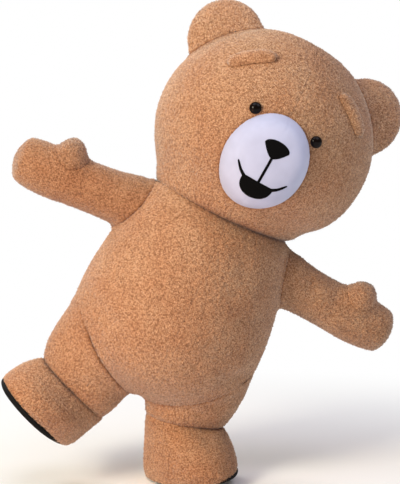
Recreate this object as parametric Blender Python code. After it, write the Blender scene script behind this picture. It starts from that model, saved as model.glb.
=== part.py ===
"""Bear mascot costume: a hollow plush suit with an attached head, in the form it has when worn.

Every piece is drawn with the bear upright and facing -Y, its origin where the suit rests on the
wearer's shoulders. Sides are the wearer's, so the right side is at -X. Closed forms give the
outer shape of the head, body, arms and legs. The cloth is a wall inside each form, cut into its
panels at the seams, and a limb's wall ends where it meets the body's form. Last, the head nods
sideways on the neck and the whole suit leans over one foot.
"""
import math
from collections import namedtuple

import bmesh
import bpy
from mathutils import Matrix, Vector

# Cloth and seams, in metres.
WALL = 0.003
SEAM_GAP = 0.0003
FAR = 3.0

# Pose of the worn suit.
LEAN = math.radians(25.4)
HEAD_NOD = math.radians(3.6)
NOD_START_HEIGHT = 0.0
NOD_FULL_HEIGHT = 0.25

# Number of points round each form.
BODY_COLUMNS = 32
ARM_COLUMNS = 16
LEG_COLUMNS = 20
MUZZLE_COLUMNS = 24
EAR_COLUMNS = 20
EAR_ROWS = 8
THUMB_COLUMNS = 12
THUMB_ROWS = 8
EYE_COLUMNS = 16
EYE_ROWS = 8
BROW_COLUMNS = 10

# Steps between the rows of a table, for the forms and for finding a place on the face.
STEPS = 2
FINE_STEPS = 8
NEARBY = 0.004
SHARP_ANGLE = math.radians(40.0)

# Level sections. The last one is the pole, where the gores meet.
Section = namedtuple("Section", "height half_width front back")
HEAD_SECTIONS = [
    Section(0.045, 0.372, 0.330, 0.300),
    Section(0.120, 0.411, 0.380, 0.345),
    Section(0.220, 0.489, 0.447, 0.415),
    Section(0.340, 0.539, 0.488, 0.458),
    Section(0.480, 0.553, 0.502, 0.480),
    Section(0.620, 0.528, 0.480, 0.472),
    Section(0.760, 0.456, 0.415, 0.415),
    Section(0.880, 0.338, 0.310, 0.315),
    Section(0.960, 0.198, 0.182, 0.185),
    Section(0.985, 0.000, 0.000, 0.000),
]
BODY_SECTIONS = [
    Section(0.045, 0.372, 0.330, 0.300),
    Section(-0.060, 0.414, 0.372, 0.334),
    Section(-0.200, 0.448, 0.408, 0.360),
    Section(-0.360, 0.479, 0.432, 0.380),
    Section(-0.520, 0.494, 0.442, 0.394),
    Section(-0.660, 0.475, 0.430, 0.390),
    Section(-0.790, 0.413, 0.385, 0.352),
    Section(-0.880, 0.321, 0.305, 0.275),
    Section(-0.945, 0.178, 0.172, 0.155),
    Section(-0.965, 0.000, 0.000, 0.000),
]

# Sections of an arm, at a distance out from the middle of the body. The last one is the pole.
ArmSection = namedtuple("ArmSection", "reach height half_height half_depth")
ARM_SECTIONS = [
    ArmSection(0.300, -0.112, 0.141, 0.146),
    ArmSection(0.420, -0.116, 0.145, 0.143),
    ArmSection(0.560, -0.129, 0.131, 0.130),
    ArmSection(0.700, -0.139, 0.128, 0.124),
    ArmSection(0.840, -0.148, 0.132, 0.123),
    ArmSection(0.960, -0.147, 0.125, 0.114),
    ArmSection(1.020, -0.145, 0.098, 0.088),
    ArmSection(1.050, -0.143, 0.000, 0.000),
]
ARM_DROP = {"left": 0.016, "right": -0.008}
THUMB_REACH = {"left": 0.814, "right": 0.794}
THUMB_FORWARD = 0.052
THUMB_HEIGHT = -0.042
THUMB_RADII = Vector((0.080, 0.078, 0.094))
THUMB_LEAN = math.radians(16.0)

# Sections of a leg, each tipped so that its outer side is the higher one. The last is the ankle.
LegSection = namedtuple("LegSection", "out height tilt half_width front back")
RIGHT_LEG = [
    LegSection(0.235, -0.600, 4.0, 0.232, 0.225, 0.215),
    LegSection(0.245, -0.720, 7.0, 0.247, 0.235, 0.225),
    LegSection(0.260, -0.840, 10.0, 0.254, 0.232, 0.222),
    LegSection(0.288, -0.965, 14.5, 0.238, 0.215, 0.205),
    LegSection(0.318, -1.065, 20.4, 0.198, 0.180, 0.172),
]
LEFT_LEG = [
    LegSection(0.235, -0.600, 5.0, 0.232, 0.225, 0.215),
    LegSection(0.245, -0.710, 8.0, 0.252, 0.235, 0.225),
    LegSection(0.255, -0.800, 11.0, 0.255, 0.232, 0.222),
    LegSection(0.269, -0.900, 13.0, 0.235, 0.210, 0.200),
    LegSection(0.298, -0.985, 14.0, 0.187, 0.172, 0.165),
]

# A boot goes from the ankle to the sole: share of that way, and the section there.
BootSection = namedtuple("BootSection", "share half_width front back")
BOOT_SECTIONS = [
    BootSection(0.16, 0.220, 0.225, 0.186),
    BootSection(0.48, 0.243, 0.308, 0.198),
    BootSection(0.82, 0.250, 0.338, 0.200),
    BootSection(1.00, 0.244, 0.334, 0.194),
]
Sole = namedtuple("Sole", "out height tilt size")
RIGHT_SOLE = Sole(0.411, -1.245, 22.4, 0.98)
LEFT_SOLE = Sole(0.408, -1.208, 31.5, 0.92)
TOE_OUT = math.tan(math.radians(12.0))
SOLE_THICKNESS = 0.026
SoleEdge = namedtuple("SoleEdge", "share grow")
SOLE_EDGES = [SoleEdge(0.0, 0.0), SoleEdge(0.35, 0.006), SoleEdge(0.75, 0.002), SoleEdge(1.0, -0.012)]

# The muzzle is an egg that looks forward. The last section is its tip.
MuzzleSection = namedtuple("MuzzleSection", "reach height half_width half_height")
MUZZLE_SECTIONS = [
    MuzzleSection(0.290, 0.347, 0.197, 0.229),
    MuzzleSection(0.390, 0.347, 0.205, 0.237),
    MuzzleSection(0.460, 0.348, 0.201, 0.233),
    MuzzleSection(0.525, 0.350, 0.177, 0.207),
    MuzzleSection(0.574, 0.354, 0.124, 0.150),
    MuzzleSection(0.594, 0.357, 0.000, 0.000),
]

# What is laid on the muzzle: outlines in the face's plane, out from its middle line and up.
APPLIQUE_THICKNESS = 0.002
NOSE_HEIGHT = 0.417
NOSE_HALF_WIDTH = 0.064
NOSE_RISE = 0.028
NOSE_DROP = 0.056
NOSE_POINTEDNESS = 1.35
NOSE_POINTS = 24
LINE_HALF_WIDTH = 0.0065
LIP_HEIGHT = 0.241
MOUTH_HALF_WIDTH = 0.080
MOUTH_TOP = -0.005
MOUTH_DEPTH = 0.074
MOUTH_FULLNESS = 0.8
MOUTH_STEPS = 8
# The smile's stroke, round from the half-moon's corner: out from that corner, and up from the lip.
StrokePoint = namedtuple("StrokePoint", "out rise")
SMILE_STROKE = [
    StrokePoint(0.000, -0.010),
    StrokePoint(0.024, 0.009),
    StrokePoint(0.049, 0.041),
    StrokePoint(0.044, 0.046),
    StrokePoint(0.014, 0.017),
    StrokePoint(-0.012, 0.001),
]
APPLIQUE_FRONT = -0.75
APPLIQUE_BACK = -0.48

EAR_CENTRE = Vector((0.400, 0.020, 0.800))
EAR_RADII = Vector((0.195, 0.066, 0.200))
EYE_OUT = 0.164
EYE_HEIGHT = 0.537
EYE_RADIUS = 0.029
EYE_BULGE = 0.021
BROW_INNER = (0.176, 0.802)
BROW_OUTER = (0.366, 0.668)
BROW_ARCH = 0.012
BROW_SECTIONS = 8
BROW_SQUARENESS = 4
BROW_HALF_WIDTH = 0.034
BROW_BULGE = 0.025

# Back zip: a chain in a slit of the centre-back seam, over a tape sewn under both edges.
ZIP_TOP = -0.030
ZIP_BOTTOM = -0.660
CHAIN_HALF_WIDTH = 0.005
CHAIN_PROUD = 0.0005
TAPE_HALF_WIDTH = 0.016
TAPE_THICKNESS = 0.0012
TAPE_END = 0.010
SLIDER_HEIGHT = -0.065
SLIDER_SIZE = Vector((0.0130, 0.0044, 0.0190))
SLIDER_ROUNDING = 0.0012
LUG_SIZE = Vector((0.0014, 0.0050, 0.0050))
LUG_OUT = 0.0042
LUG_SINK = 0.0008
PIN_RADIUS = 0.0010
PIN_LIFT = 0.0080
TAB_WIDTH = 0.0066
TAB_THICKNESS = 0.0014
TAB_LENGTH = 0.0380
TAB_EYE_RADIUS = 0.0026
TAB_BORE_RADIUS = 0.0013
PIN_SIDES = 16

Finish = namedtuple("Finish", "colour roughness metallic")
FINISHES = {
    "tan_plush": Finish((0.60, 0.34, 0.18), 0.95, 0.0),
    "white_knit": Finish((0.80, 0.79, 0.84), 0.70, 0.0),
    "black_felt": Finish((0.012, 0.011, 0.012), 0.85, 0.0),
    "black_dome": Finish((0.015, 0.009, 0.008), 0.12, 0.0),
    "sole_cloth": Finish((0.018, 0.018, 0.020), 0.80, 0.0),
    "zip_cloth": Finish((0.42, 0.25, 0.15), 0.85, 0.0),
    "zip_metal": Finish((0.45, 0.40, 0.32), 0.35, 1.0),
}
SIDES = {"left": 1.0, "right": -1.0}

HALF_GAP = SEAM_GAP / 2
materials = {}
pieces = []
cutters = []


def clear_scene():
    for old in list(bpy.data.objects):
        bpy.data.objects.remove(old, do_unlink=True)


def make_materials():
    for name, finish in FINISHES.items():
        material = bpy.data.materials.new(name)
        material.use_nodes = True
        shader = material.node_tree.nodes["Principled BSDF"]
        shader.inputs["Base Color"].default_value = (*finish.colour, 1.0)
        shader.inputs["Roughness"].default_value = finish.roughness
        shader.inputs["Metallic"].default_value = finish.metallic
        materials[name] = material


# Curves and sections


def curve_point(before, start, end, after, t):
    """A point between start and end on the smooth curve through all four rows."""
    return tuple(
        0.5 * (2 * b + (c - a) * t + (2 * a - 5 * b + 4 * c - d) * t**2 + (3 * b - a - 3 * c + d) * t**3)
        for a, b, c, d in zip(before, start, end, after)
    )


def smooth_rows(table, steps, radial=None):
    """The table's rows with steps - 1 rows between each pair, on one smooth curve.

    Where the table ends at a pole, its columns from radial on are radii: the curve goes on
    through the pole to the other side, which makes the pole round.
    """
    rows = [tuple(row) for row in table]
    first = tuple(2 * a - b for a, b in zip(rows[0], rows[1]))
    last = tuple(2 * a - b for a, b in zip(rows[-1], rows[-2]))
    if radial is not None:
        last = rows[-2][:radial] + tuple(-radius for radius in rows[-2][radial:])
    padded = [first, *rows, last]
    smooth = []
    for before, start, end, after in zip(padded, padded[1:], padded[2:], padded[3:]):
        smooth += [curve_point(before, start, end, after, step / steps) for step in range(steps)]
    return smooth + [rows[-1]]


def ring(centre, side, forward, half_width, front, back, columns):
    """An oval that starts at its front and has its own depth in front and behind."""
    points = []
    for column in range(columns):
        angle = math.tau * column / columns
        depth = front if math.cos(angle) > 0 else back
        points.append(centre + side * half_width * math.sin(angle) + forward * depth * math.cos(angle))
    return points


def level_rings(table):
    rows = smooth_rows(table, STEPS, radial=1)
    side, forward = Vector((1, 0, 0)), Vector((0, -1, 0))
    return [ring(Vector((0, 0, row[0])), side, forward, *row[1:], BODY_COLUMNS) for row in rows]


def arm_rings(side):
    sign = SIDES[side]
    rings = []
    for reach, height, half_height, half_depth in smooth_rows(ARM_SECTIONS, STEPS, radial=2):
        centre = Vector((sign * reach, 0, height - ARM_DROP[side]))
        up, forward = Vector((0, 0, 1)), Vector((0, -1, 0))
        rings.append(ring(centre, up, forward, half_height, half_depth, half_depth, ARM_COLUMNS))
    return rings


def muzzle_rings():
    rings = []
    for reach, height, half_width, half_height in smooth_rows(MUZZLE_SECTIONS, STEPS, radial=2):
        centre = Vector((0, -reach, height))
        side, up = Vector((1, 0, 0)), Vector((0, 0, 1))
        rings.append(ring(centre, side, up, half_width, half_height, half_height, MUZZLE_COLUMNS))
    return rings


def tipped_ring(sign, out, height, tilt, half_width, front, back, toe_out=0.0):
    """A leg's oval, with its outer side raised by tilt degrees and its front turned outwards."""
    angle = math.radians(tilt)
    side = Vector((sign * math.cos(angle), 0, math.sin(angle)))
    forward = Vector((0, -1, 0)) + side * toe_out
    return ring(Vector((sign * out, 0, height)), side, forward, half_width, front, back, LEG_COLUMNS)


def leg_rings(sign, leg):
    return [tipped_ring(sign, *row) for row in smooth_rows(leg, STEPS)]


def boot_rings(sign, leg, sole):
    """The boot's sections: the ankle's own, and then ever nearer to the sole's place and tilt."""
    ankle = leg[-1]
    table = [(0.0, ankle.half_width, ankle.front, ankle.back)]
    for row in BOOT_SECTIONS:
        table.append((row.share, row.half_width * sole.size, row.front * sole.size, row.back * sole.size))
    rings = []
    for share, half_width, front, back in smooth_rows(table, STEPS):
        place = [a + (b - a) * share for a, b in zip(ankle[:3], sole[:3])]
        rings.append(tipped_ring(sign, *place, half_width, front, back, TOE_OUT * share))
    return rings


def sole_rings(sign, sole):
    """The sole's rounded edge, from its upper face down to the flat one that meets the ground."""
    last = BOOT_SECTIONS[-1]
    angle = math.radians(sole.tilt)
    rings = []
    for edge in SOLE_EDGES:
        drop = SEAM_GAP + SOLE_THICKNESS * edge.share
        out = sole.out + drop * math.sin(angle)
        height = sole.height - drop * math.cos(angle)
        sizes = [size * sole.size + edge.grow for size in last[1:]]
        rings.append(tipped_ring(sign, out, height, sole.tilt, *sizes, TOE_OUT))
    return rings


# Meshes


def extrude_ring(bm, verts, points):
    """Extrude a loop of edges to the next ring of points, and return its new corners in order."""
    loop = [bm.edges.get((a, b)) for a, b in zip(verts, verts[1:] + verts[:1])]
    made = bmesh.ops.extrude_edge_only(bm, edges=loop)
    fresh = {item for item in made["geom"] if isinstance(item, bmesh.types.BMVert)}
    new_verts = []
    for vert, point in zip(verts, points):
        twin = next(edge.other_vert(vert) for edge in vert.link_edges if edge.other_vert(vert) in fresh)
        twin.co = point
        new_verts.append(twin)
    return new_verts


def loft(rings):
    """A closed body through all rings. A ring of no size becomes a pole, and others are capped."""
    bm = bmesh.new()
    verts = [bm.verts.new(point) for point in rings[0]]
    for a, b in zip(verts, verts[1:] + verts[:1]):
        bm.edges.new((a, b))
    for points in rings[1:]:
        verts = extrude_ring(bm, verts, points)
    bmesh.ops.remove_doubles(bm, verts=verts, dist=SEAM_GAP)
    bmesh.ops.holes_fill(bm, edges=bm.edges, sides=0)
    bmesh.ops.recalc_face_normals(bm, faces=bm.faces)
    return bm


def ellipsoid(centre, radii, columns, rows, turn=None):
    """A closed round body whose poles lie on its own Z axis."""
    bm = bmesh.new()
    matrix = Matrix.Translation(centre) @ (turn or Matrix.Identity(4)) @ Matrix.Diagonal((*radii, 1))
    bmesh.ops.create_uvsphere(bm, u_segments=columns, v_segments=rows, radius=1.0, matrix=matrix)
    bmesh.ops.recalc_face_normals(bm, faces=bm.faces)
    return bm


def open_ends(bm):
    """Take away the caps, which are the only faces with more than four corners."""
    caps = [face for face in bm.faces if len(face.verts) > 4]
    bmesh.ops.delete(bm, geom=caps, context="FACES_ONLY")
    return bm


def grown(bm, distance):
    """The body with its faces moved out, or in where the distance is negative."""
    copy = bm.copy()
    copy.normal_update()
    for vert in copy.verts:
        vert.co += vert.normal * distance * vert.calc_shell_factor()
    return copy


def block(low, high):
    bm = bmesh.new()
    size = [b - a for a, b in zip(low, high)]
    middle = [(a + b) / 2 for a, b in zip(low, high)]
    bmesh.ops.create_cube(bm, size=1.0, matrix=Matrix.Translation(middle) @ Matrix.Diagonal((*size, 1)))
    return bm


def prism(outline):
    """A bar along Y whose section is an outline of points out from the middle and up."""
    bm = bmesh.new()
    face = bm.faces.new([bm.verts.new((out, APPLIQUE_FRONT, height)) for out, height in outline])
    made = bmesh.ops.extrude_face_region(bm, geom=[face])
    moved = [item for item in made["geom"] if isinstance(item, bmesh.types.BMVert)]
    bmesh.ops.translate(bm, vec=(0, APPLIQUE_BACK - APPLIQUE_FRONT, 0), verts=moved)
    bmesh.ops.recalc_face_normals(bm, faces=bm.faces)
    return bm


# Objects


def new_object(name, bm):
    mesh = bpy.data.meshes.new(name)
    bm.to_mesh(mesh)
    obj = bpy.data.objects.new(name, mesh)
    bpy.context.scene.collection.objects.link(obj)
    return obj


def new_cutter(name, bm):
    cutter = new_object(name, bm)
    cutter.hide_render = True
    cutter.display_type = "WIRE"
    cutters.append(cutter)
    return cutter


def new_piece(name, bm, finish, thickness=None):
    piece = new_object(name, bm)
    piece.data.materials.append(materials[finish])
    if thickness:
        wall = piece.modifiers.new("cloth wall", "SOLIDIFY")
        wall.thickness = thickness
        wall.offset = -1
        wall.use_even_offset = True
    pieces.append(piece)
    return piece


def combine(piece, operation, *others):
    for other in others:
        modifier = piece.modifiers.new(other.name, "BOOLEAN")
        modifier.solver = "EXACT"
        modifier.operation = operation
        modifier.object = other


def make_halves(low_names, high_names, axis, level=0.0):
    """Two blocks that keep all that lies below and above a seam plane, half a gap from it."""
    low, high = [-FAR] * 3, [FAR] * 3
    below, above = list(high), list(low)
    below[axis] = level - HALF_GAP
    above[axis] = level + HALF_GAP
    return {
        low_names: new_cutter(f"keep_{low_names}", block(low, below)),
        high_names: new_cutter(f"keep_{high_names}", block(above, high)),
    }


# The suit's parts


def make_head(halves, body):
    """Four gores from the neck seam to the crown, with the muzzle's hole in the front two."""
    form = body["head"]
    hole = new_cutter("muzzle_hole", grown(body["muzzle"], -WALL))
    for depth in ("front", "back"):
        for side in SIDES:
            gore = new_piece(f"head_{depth}_{side}", open_ends(form.copy()), "tan_plush", WALL)
            combine(gore, "INTERSECT", halves[depth], halves[side])
            if depth == "front":
                combine(gore, "DIFFERENCE", hole)


def make_muzzle(body):
    muzzle = new_piece("muzzle", open_ends(body["muzzle"].copy()), "white_knit", WALL)
    combine(muzzle, "DIFFERENCE", body["head_skin"])


def nose_outline():
    """A wide low arch over a softly pointed lower edge."""
    points = []
    for step in range(NOSE_POINTS):
        angle = math.tau * step / NOSE_POINTS
        out = math.cos(angle)
        if math.sin(angle) >= 0:
            rise = NOSE_RISE * math.sin(angle)
        else:
            rise = -NOSE_DROP * (1 - abs(out) ** NOSE_POINTEDNESS)
        points.append((NOSE_HALF_WIDTH * out, NOSE_HEIGHT + rise))
    return points


def mouth_outline():
    """A half-moon whose upper corners run on into two rising strokes."""
    half = []
    for step in range(MOUTH_STEPS):
        angle = math.pi / 2 * step / MOUTH_STEPS
        drop = MOUTH_DEPTH * math.cos(angle) ** MOUTH_FULLNESS
        half.append((MOUTH_HALF_WIDTH * math.sin(angle), LIP_HEIGHT + MOUTH_TOP - drop))
    half += [(MOUTH_HALF_WIDTH + point.out, LIP_HEIGHT + point.rise) for point in SMILE_STROKE]
    other_half = [(-out, height) for out, height in reversed(half[1:])]
    return half + [(0.0, LIP_HEIGHT)] + other_half


def line_outline():
    """The straight line from the nose down to the lip, a seam's gap clear of both."""
    edge_rise = NOSE_DROP * (LINE_HALF_WIDTH / NOSE_HALF_WIDTH) ** NOSE_POINTEDNESS
    tip = NOSE_HEIGHT - NOSE_DROP - 2 * SEAM_GAP
    top = tip + edge_rise
    bottom = LIP_HEIGHT + 2 * SEAM_GAP
    return [
        (-LINE_HALF_WIDTH, bottom), (LINE_HALF_WIDTH, bottom),
        (LINE_HALF_WIDTH, top), (0.0, tip), (-LINE_HALF_WIDTH, top),
    ]


def make_appliques(body):
    """Nose, line and mouth, each lying on the muzzle at an even thickness."""
    under = new_cutter("muzzle_skin", grown(body["muzzle"], SEAM_GAP))
    over = new_cutter("applique_skin", grown(body["muzzle"], SEAM_GAP + APPLIQUE_THICKNESS))
    outlines = {"nose": nose_outline(), "mouth_line": line_outline(), "mouth": mouth_outline()}
    for name, outline in outlines.items():
        applique = new_piece(name, prism(outline), "black_felt")
        combine(applique, "INTERSECT", over)
        combine(applique, "DIFFERENCE", under)


def head_place(out, height):
    """The point of the head's front at a distance out and a height, and its outward direction."""
    rows = smooth_rows(HEAD_SECTIONS, FINE_STEPS, radial=1)

    def point(at_out, at_height):
        low, high = next((a, b) for a, b in zip(rows, rows[1:]) if a[0] <= at_height <= b[0])
        share = (at_height - low[0]) / (high[0] - low[0])
        half_width = low[1] + (high[1] - low[1]) * share
        front = low[2] + (high[2] - low[2]) * share
        return Vector((at_out, -front * math.sqrt(1 - (at_out / half_width) ** 2), at_height))

    across = point(out + NEARBY, height) - point(out - NEARBY, height)
    upward = point(out, height + NEARBY) - point(out, height - NEARBY)
    return point(out, height), across.cross(upward).normalized()


def make_eyes(body):
    for side, sign in SIDES.items():
        centre, outward = head_place(sign * EYE_OUT, EYE_HEIGHT)
        turn = outward.to_track_quat("Z", "Y").to_matrix().to_4x4()
        radii = Vector((EYE_RADIUS, EYE_RADIUS, EYE_BULGE))
        eye = new_piece(f"eye_{side}", ellipsoid(centre, radii, EYE_COLUMNS, EYE_ROWS, turn), "black_dome")
        combine(eye, "DIFFERENCE", body["head_skin"])


def make_brows(body):
    """Padded bars with round ends, laid along the forehead."""
    for side, sign in SIDES.items():
        rings = []
        for step in range(BROW_SECTIONS + 1):
            t = step / BROW_SECTIONS
            out = BROW_INNER[0] + (BROW_OUTER[0] - BROW_INNER[0]) * t
            height = BROW_INNER[1] + (BROW_OUTER[1] - BROW_INNER[1]) * t + BROW_ARCH * math.sin(math.pi * t)
            centre, outward = head_place(sign * out, height)
            along = Vector((sign * (BROW_OUTER[0] - BROW_INNER[0]), 0, BROW_OUTER[1] - BROW_INNER[1]))
            across = outward.cross(along).normalized()
            size = (1 - abs(2 * t - 1) ** BROW_SQUARENESS) ** 0.5
            rings.append(ring(centre, across, outward, BROW_HALF_WIDTH * size, BROW_BULGE * size,
                              BROW_BULGE * size, BROW_COLUMNS))
        brow = new_piece(f"brow_{side}", pole_loft(rings), "tan_plush")
        combine(brow, "DIFFERENCE", body["head_skin"])


def pole_loft(rings):
    """A loft whose first and last rings both have no size."""
    bm = loft(rings[1:])
    caps = [face for face in bm.faces if len(face.verts) > 4]
    made = bmesh.ops.poke(bm, faces=caps)
    for vert in made["verts"]:
        vert.co = rings[0][0]
    return bm


def make_ears(halves, body):
    for side, sign in SIDES.items():
        centre = Vector((sign * EAR_CENTRE.x, EAR_CENTRE.y, EAR_CENTRE.z))
        turn = Matrix.Rotation(math.pi / 2, 4, "X")
        radii = Vector((EAR_RADII.x, EAR_RADII.z, EAR_RADII.y))
        form = ellipsoid(centre, radii, EAR_COLUMNS, EAR_ROWS, turn)
        for depth in ("front", "back"):
            ear = new_piece(f"ear_{depth}_{side}", form, "tan_plush", WALL)
            combine(ear, "INTERSECT", halves[f"ear_{depth}"])
            combine(ear, "DIFFERENCE", body["head_skin"])


def make_torso(halves, body):
    """Four body panels with armholes, leg holes and the slit for the zip."""
    slit = new_cutter("zip_slit", block(
        (-CHAIN_HALF_WIDTH - SEAM_GAP, 0.0, ZIP_BOTTOM),
        (CHAIN_HALF_WIDTH + SEAM_GAP, FAR, ZIP_TOP),
    ))
    holes = {}
    for side in SIDES:
        armhole = new_cutter(f"armhole_{side}", grown(body[f"arm_{side}"], -WALL))
        leg_hole = new_cutter(f"leg_hole_{side}", grown(body[f"leg_{side}"], -WALL))
        holes[side] = [armhole, leg_hole]
    for depth in ("front", "back"):
        for side in SIDES:
            panel = new_piece(f"torso_{depth}_{side}", open_ends(body["body"].copy()), "tan_plush", WALL)
            combine(panel, "INTERSECT", halves[depth], halves[side])
            combine(panel, "DIFFERENCE", *holes[side])
            if depth == "back":
                combine(panel, "DIFFERENCE", slit)


def make_arms(halves, body):
    """Each sleeve runs on into its mitt, in a front and a back, with a thumb pouch sewn on."""
    for side, sign in SIDES.items():
        centre = Vector((sign * THUMB_REACH[side], -THUMB_FORWARD, THUMB_HEIGHT - ARM_DROP[side]))
        lean = Matrix.Rotation(sign * THUMB_LEAN, 4, "Y")
        thumb_form = ellipsoid(centre, THUMB_RADII, THUMB_COLUMNS, THUMB_ROWS, lean)
        thumb_hole = new_cutter(f"thumb_hole_{side}", grown(thumb_form, -WALL))
        arm_skin = new_cutter(f"arm_skin_{side}", grown(body[f"arm_{side}"], SEAM_GAP))
        thumb = new_piece(f"thumb_{side}", thumb_form, "tan_plush", WALL)
        combine(thumb, "DIFFERENCE", arm_skin)
        for depth in ("front", "back"):
            tube = open_ends(body[f"arm_{side}"].copy())
            sleeve = new_piece(f"sleeve_{depth}_{side}", tube, "tan_plush", WALL)
            combine(sleeve, "INTERSECT", halves[depth])
            combine(sleeve, "DIFFERENCE", body["body_skin"], thumb_hole)


def make_legs(halves, body):
    for side in SIDES:
        for depth in ("front", "back"):
            leg = new_piece(f"leg_{depth}_{side}", open_ends(body[f"leg_{side}"].copy()), "tan_plush", WALL)
            combine(leg, "INTERSECT", halves[depth])
            combine(leg, "DIFFERENCE", body["body_skin"])


def make_boots(halves):
    shapes = {"left": (LEFT_LEG, LEFT_SOLE), "right": (RIGHT_LEG, RIGHT_SOLE)}
    for side, (leg, sole) in shapes.items():
        form = open_ends(loft(boot_rings(SIDES[side], leg, sole)))
        bmesh.ops.translate(form, vec=(0, 0, -SEAM_GAP), verts=form.verts)
        for depth in ("front", "back"):
            boot = new_piece(f"boot_{depth}_{side}", form, "tan_plush", WALL)
            combine(boot, "INTERSECT", halves[depth])
        rings = sole_rings(SIDES[side], sole)
        sole_body = loft(rings)
        bmesh.ops.translate(sole_body, vec=(0, 0, -SEAM_GAP), verts=sole_body.verts)
        new_piece(f"sole_{side}", sole_body, "sole_cloth")


def make_zip(body):
    """The tape lies under the panels' edges, and the chain fills the slit between them."""
    layers = {
        "zip_tape": (TAPE_HALF_WIDTH, TAPE_END, -WALL - SEAM_GAP, TAPE_THICKNESS),
        "zip_chain": (CHAIN_HALF_WIDTH, -SEAM_GAP, CHAIN_PROUD, WALL + CHAIN_PROUD),
    }
    for name, (half_width, extra, level, thickness) in layers.items():
        strip = block((-half_width, 0.0, ZIP_BOTTOM - extra), (half_width, FAR, ZIP_TOP + extra))
        piece = new_piece(name, strip, "zip_cloth")
        outer = new_cutter(f"{name}_outer", grown(body["body"], level))
        inner = new_cutter(f"{name}_inner", grown(body["body"], level - thickness))
        combine(piece, "INTERSECT", outer)
        combine(piece, "DIFFERENCE", inner)


def slider_frame():
    """Where the slider sits on the chain: X across, Y outwards and Z up along the back."""
    rows = smooth_rows(BODY_SECTIONS, STEPS, radial=1)
    below, above = next((b, a) for a, b in zip(rows, rows[1:]) if b[0] <= SLIDER_HEIGHT <= a[0])
    upward = Vector((0, above[3] - below[3], above[0] - below[0])).normalized()
    across = Vector((1, 0, 0))
    outward = upward.cross(across)
    share = (SLIDER_HEIGHT - below[0]) / (above[0] - below[0])
    place = Vector((0, below[3] + (above[3] - below[3]) * share, SLIDER_HEIGHT))
    turn = Matrix((across, outward, upward)).transposed().to_4x4()
    return Matrix.Translation(place) @ turn


def centred_block(centre, size):
    low = [c - s / 2 for c, s in zip(centre, size)]
    high = [c + s / 2 for c, s in zip(centre, size)]
    return block(low, high)


def cross_pin(radius, length):
    """A round bar along X at the height of the slider's pin."""
    bm = bmesh.new()
    matrix = Matrix.Translation((0, PIN_LIFT, 0)) @ Matrix.Rotation(math.pi / 2, 4, "Y")
    bmesh.ops.create_cone(bm, cap_ends=True, segments=PIN_SIDES, radius1=radius, radius2=radius,
                          depth=length, matrix=matrix)
    return bm


def place_all(bodies, frame):
    for bm in bodies:
        bmesh.ops.transform(bm, matrix=frame, verts=bm.verts)
    return bodies


def make_slider(frame):
    """A slider with two lugs and the cross pin that carries the pull tab."""
    base = CHAIN_PROUD + SEAM_GAP
    shell = centred_block((0, base + SLIDER_SIZE.y / 2, 0), SLIDER_SIZE)
    bmesh.ops.bevel(shell, geom=shell.edges[:], offset=SLIDER_ROUNDING, affect="EDGES", segments=2,
                    profile=0.5, material=-1)
    lug_low = base + SLIDER_SIZE.y - LUG_SINK
    lugs = [centred_block((s * LUG_OUT, lug_low + LUG_SIZE.y / 2, 0), LUG_SIZE) for s in SIDES.values()]
    pin = cross_pin(PIN_RADIUS, 2 * LUG_OUT)
    place_all([shell, *lugs, pin], frame)
    slider = new_piece("zip_slider", shell, "zip_metal")
    for name, bm in zip(("lug_left", "lug_right", "pin"), [*lugs, pin]):
        combine(slider, "UNION", new_cutter(f"slider_{name}", bm))


def make_pull_tab(frame):
    """A flat tab hanging from the slider's pin by an eye, with its origin on the pin's axis."""
    plate = centred_block((0, PIN_LIFT, -TAB_LENGTH / 2), (TAB_WIDTH, TAB_THICKNESS, TAB_LENGTH))
    eye = cross_pin(TAB_EYE_RADIUS, TAB_WIDTH)
    bore = cross_pin(TAB_BORE_RADIUS, 2 * TAB_WIDTH)
    place_all([plate, eye, bore], frame)
    tab = new_piece("zip_pull_tab", plate, "zip_metal")
    combine(tab, "UNION", new_cutter("tab_eye", eye))
    combine(tab, "DIFFERENCE", new_cutter("tab_bore", bore))
    return frame @ Vector((0, PIN_LIFT, 0))


# Pose


def posed(point):
    """Nod the head over the neck, then lean the whole suit, both towards the left side."""
    share = (point.z - NOD_START_HEIGHT) / (NOD_FULL_HEIGHT - NOD_START_HEIGHT)
    share = min(max(share, 0.0), 1.0)
    angle = LEAN + HEAD_NOD * share * share * (3 - 2 * share)
    return Matrix.Rotation(angle, 3, "Y") @ point


def finish_pieces(tab_hinge):
    """Cut every piece to shape, pose it and put the pull tab's origin on its hinge."""
    graph = bpy.context.evaluated_depsgraph_get()
    meshes = [bpy.data.meshes.new_from_object(piece.evaluated_get(graph)) for piece in pieces]
    for piece, mesh in zip(pieces, meshes):
        bm = bmesh.new()
        bm.from_mesh(mesh)
        bmesh.ops.triangulate(bm, faces=bm.faces)
        origin = posed(tab_hinge) if piece.name == "zip_pull_tab" else Vector()
        for vert in bm.verts:
            vert.co = posed(vert.co) - origin
        bm.to_mesh(mesh)
        piece.modifiers.clear()
        piece.data = mesh
        piece.location = origin
        mesh.shade_smooth()
        mesh.set_sharp_from_angle(angle=SHARP_ANGLE)
    for cutter in cutters:
        bpy.data.objects.remove(cutter, do_unlink=True)


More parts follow.
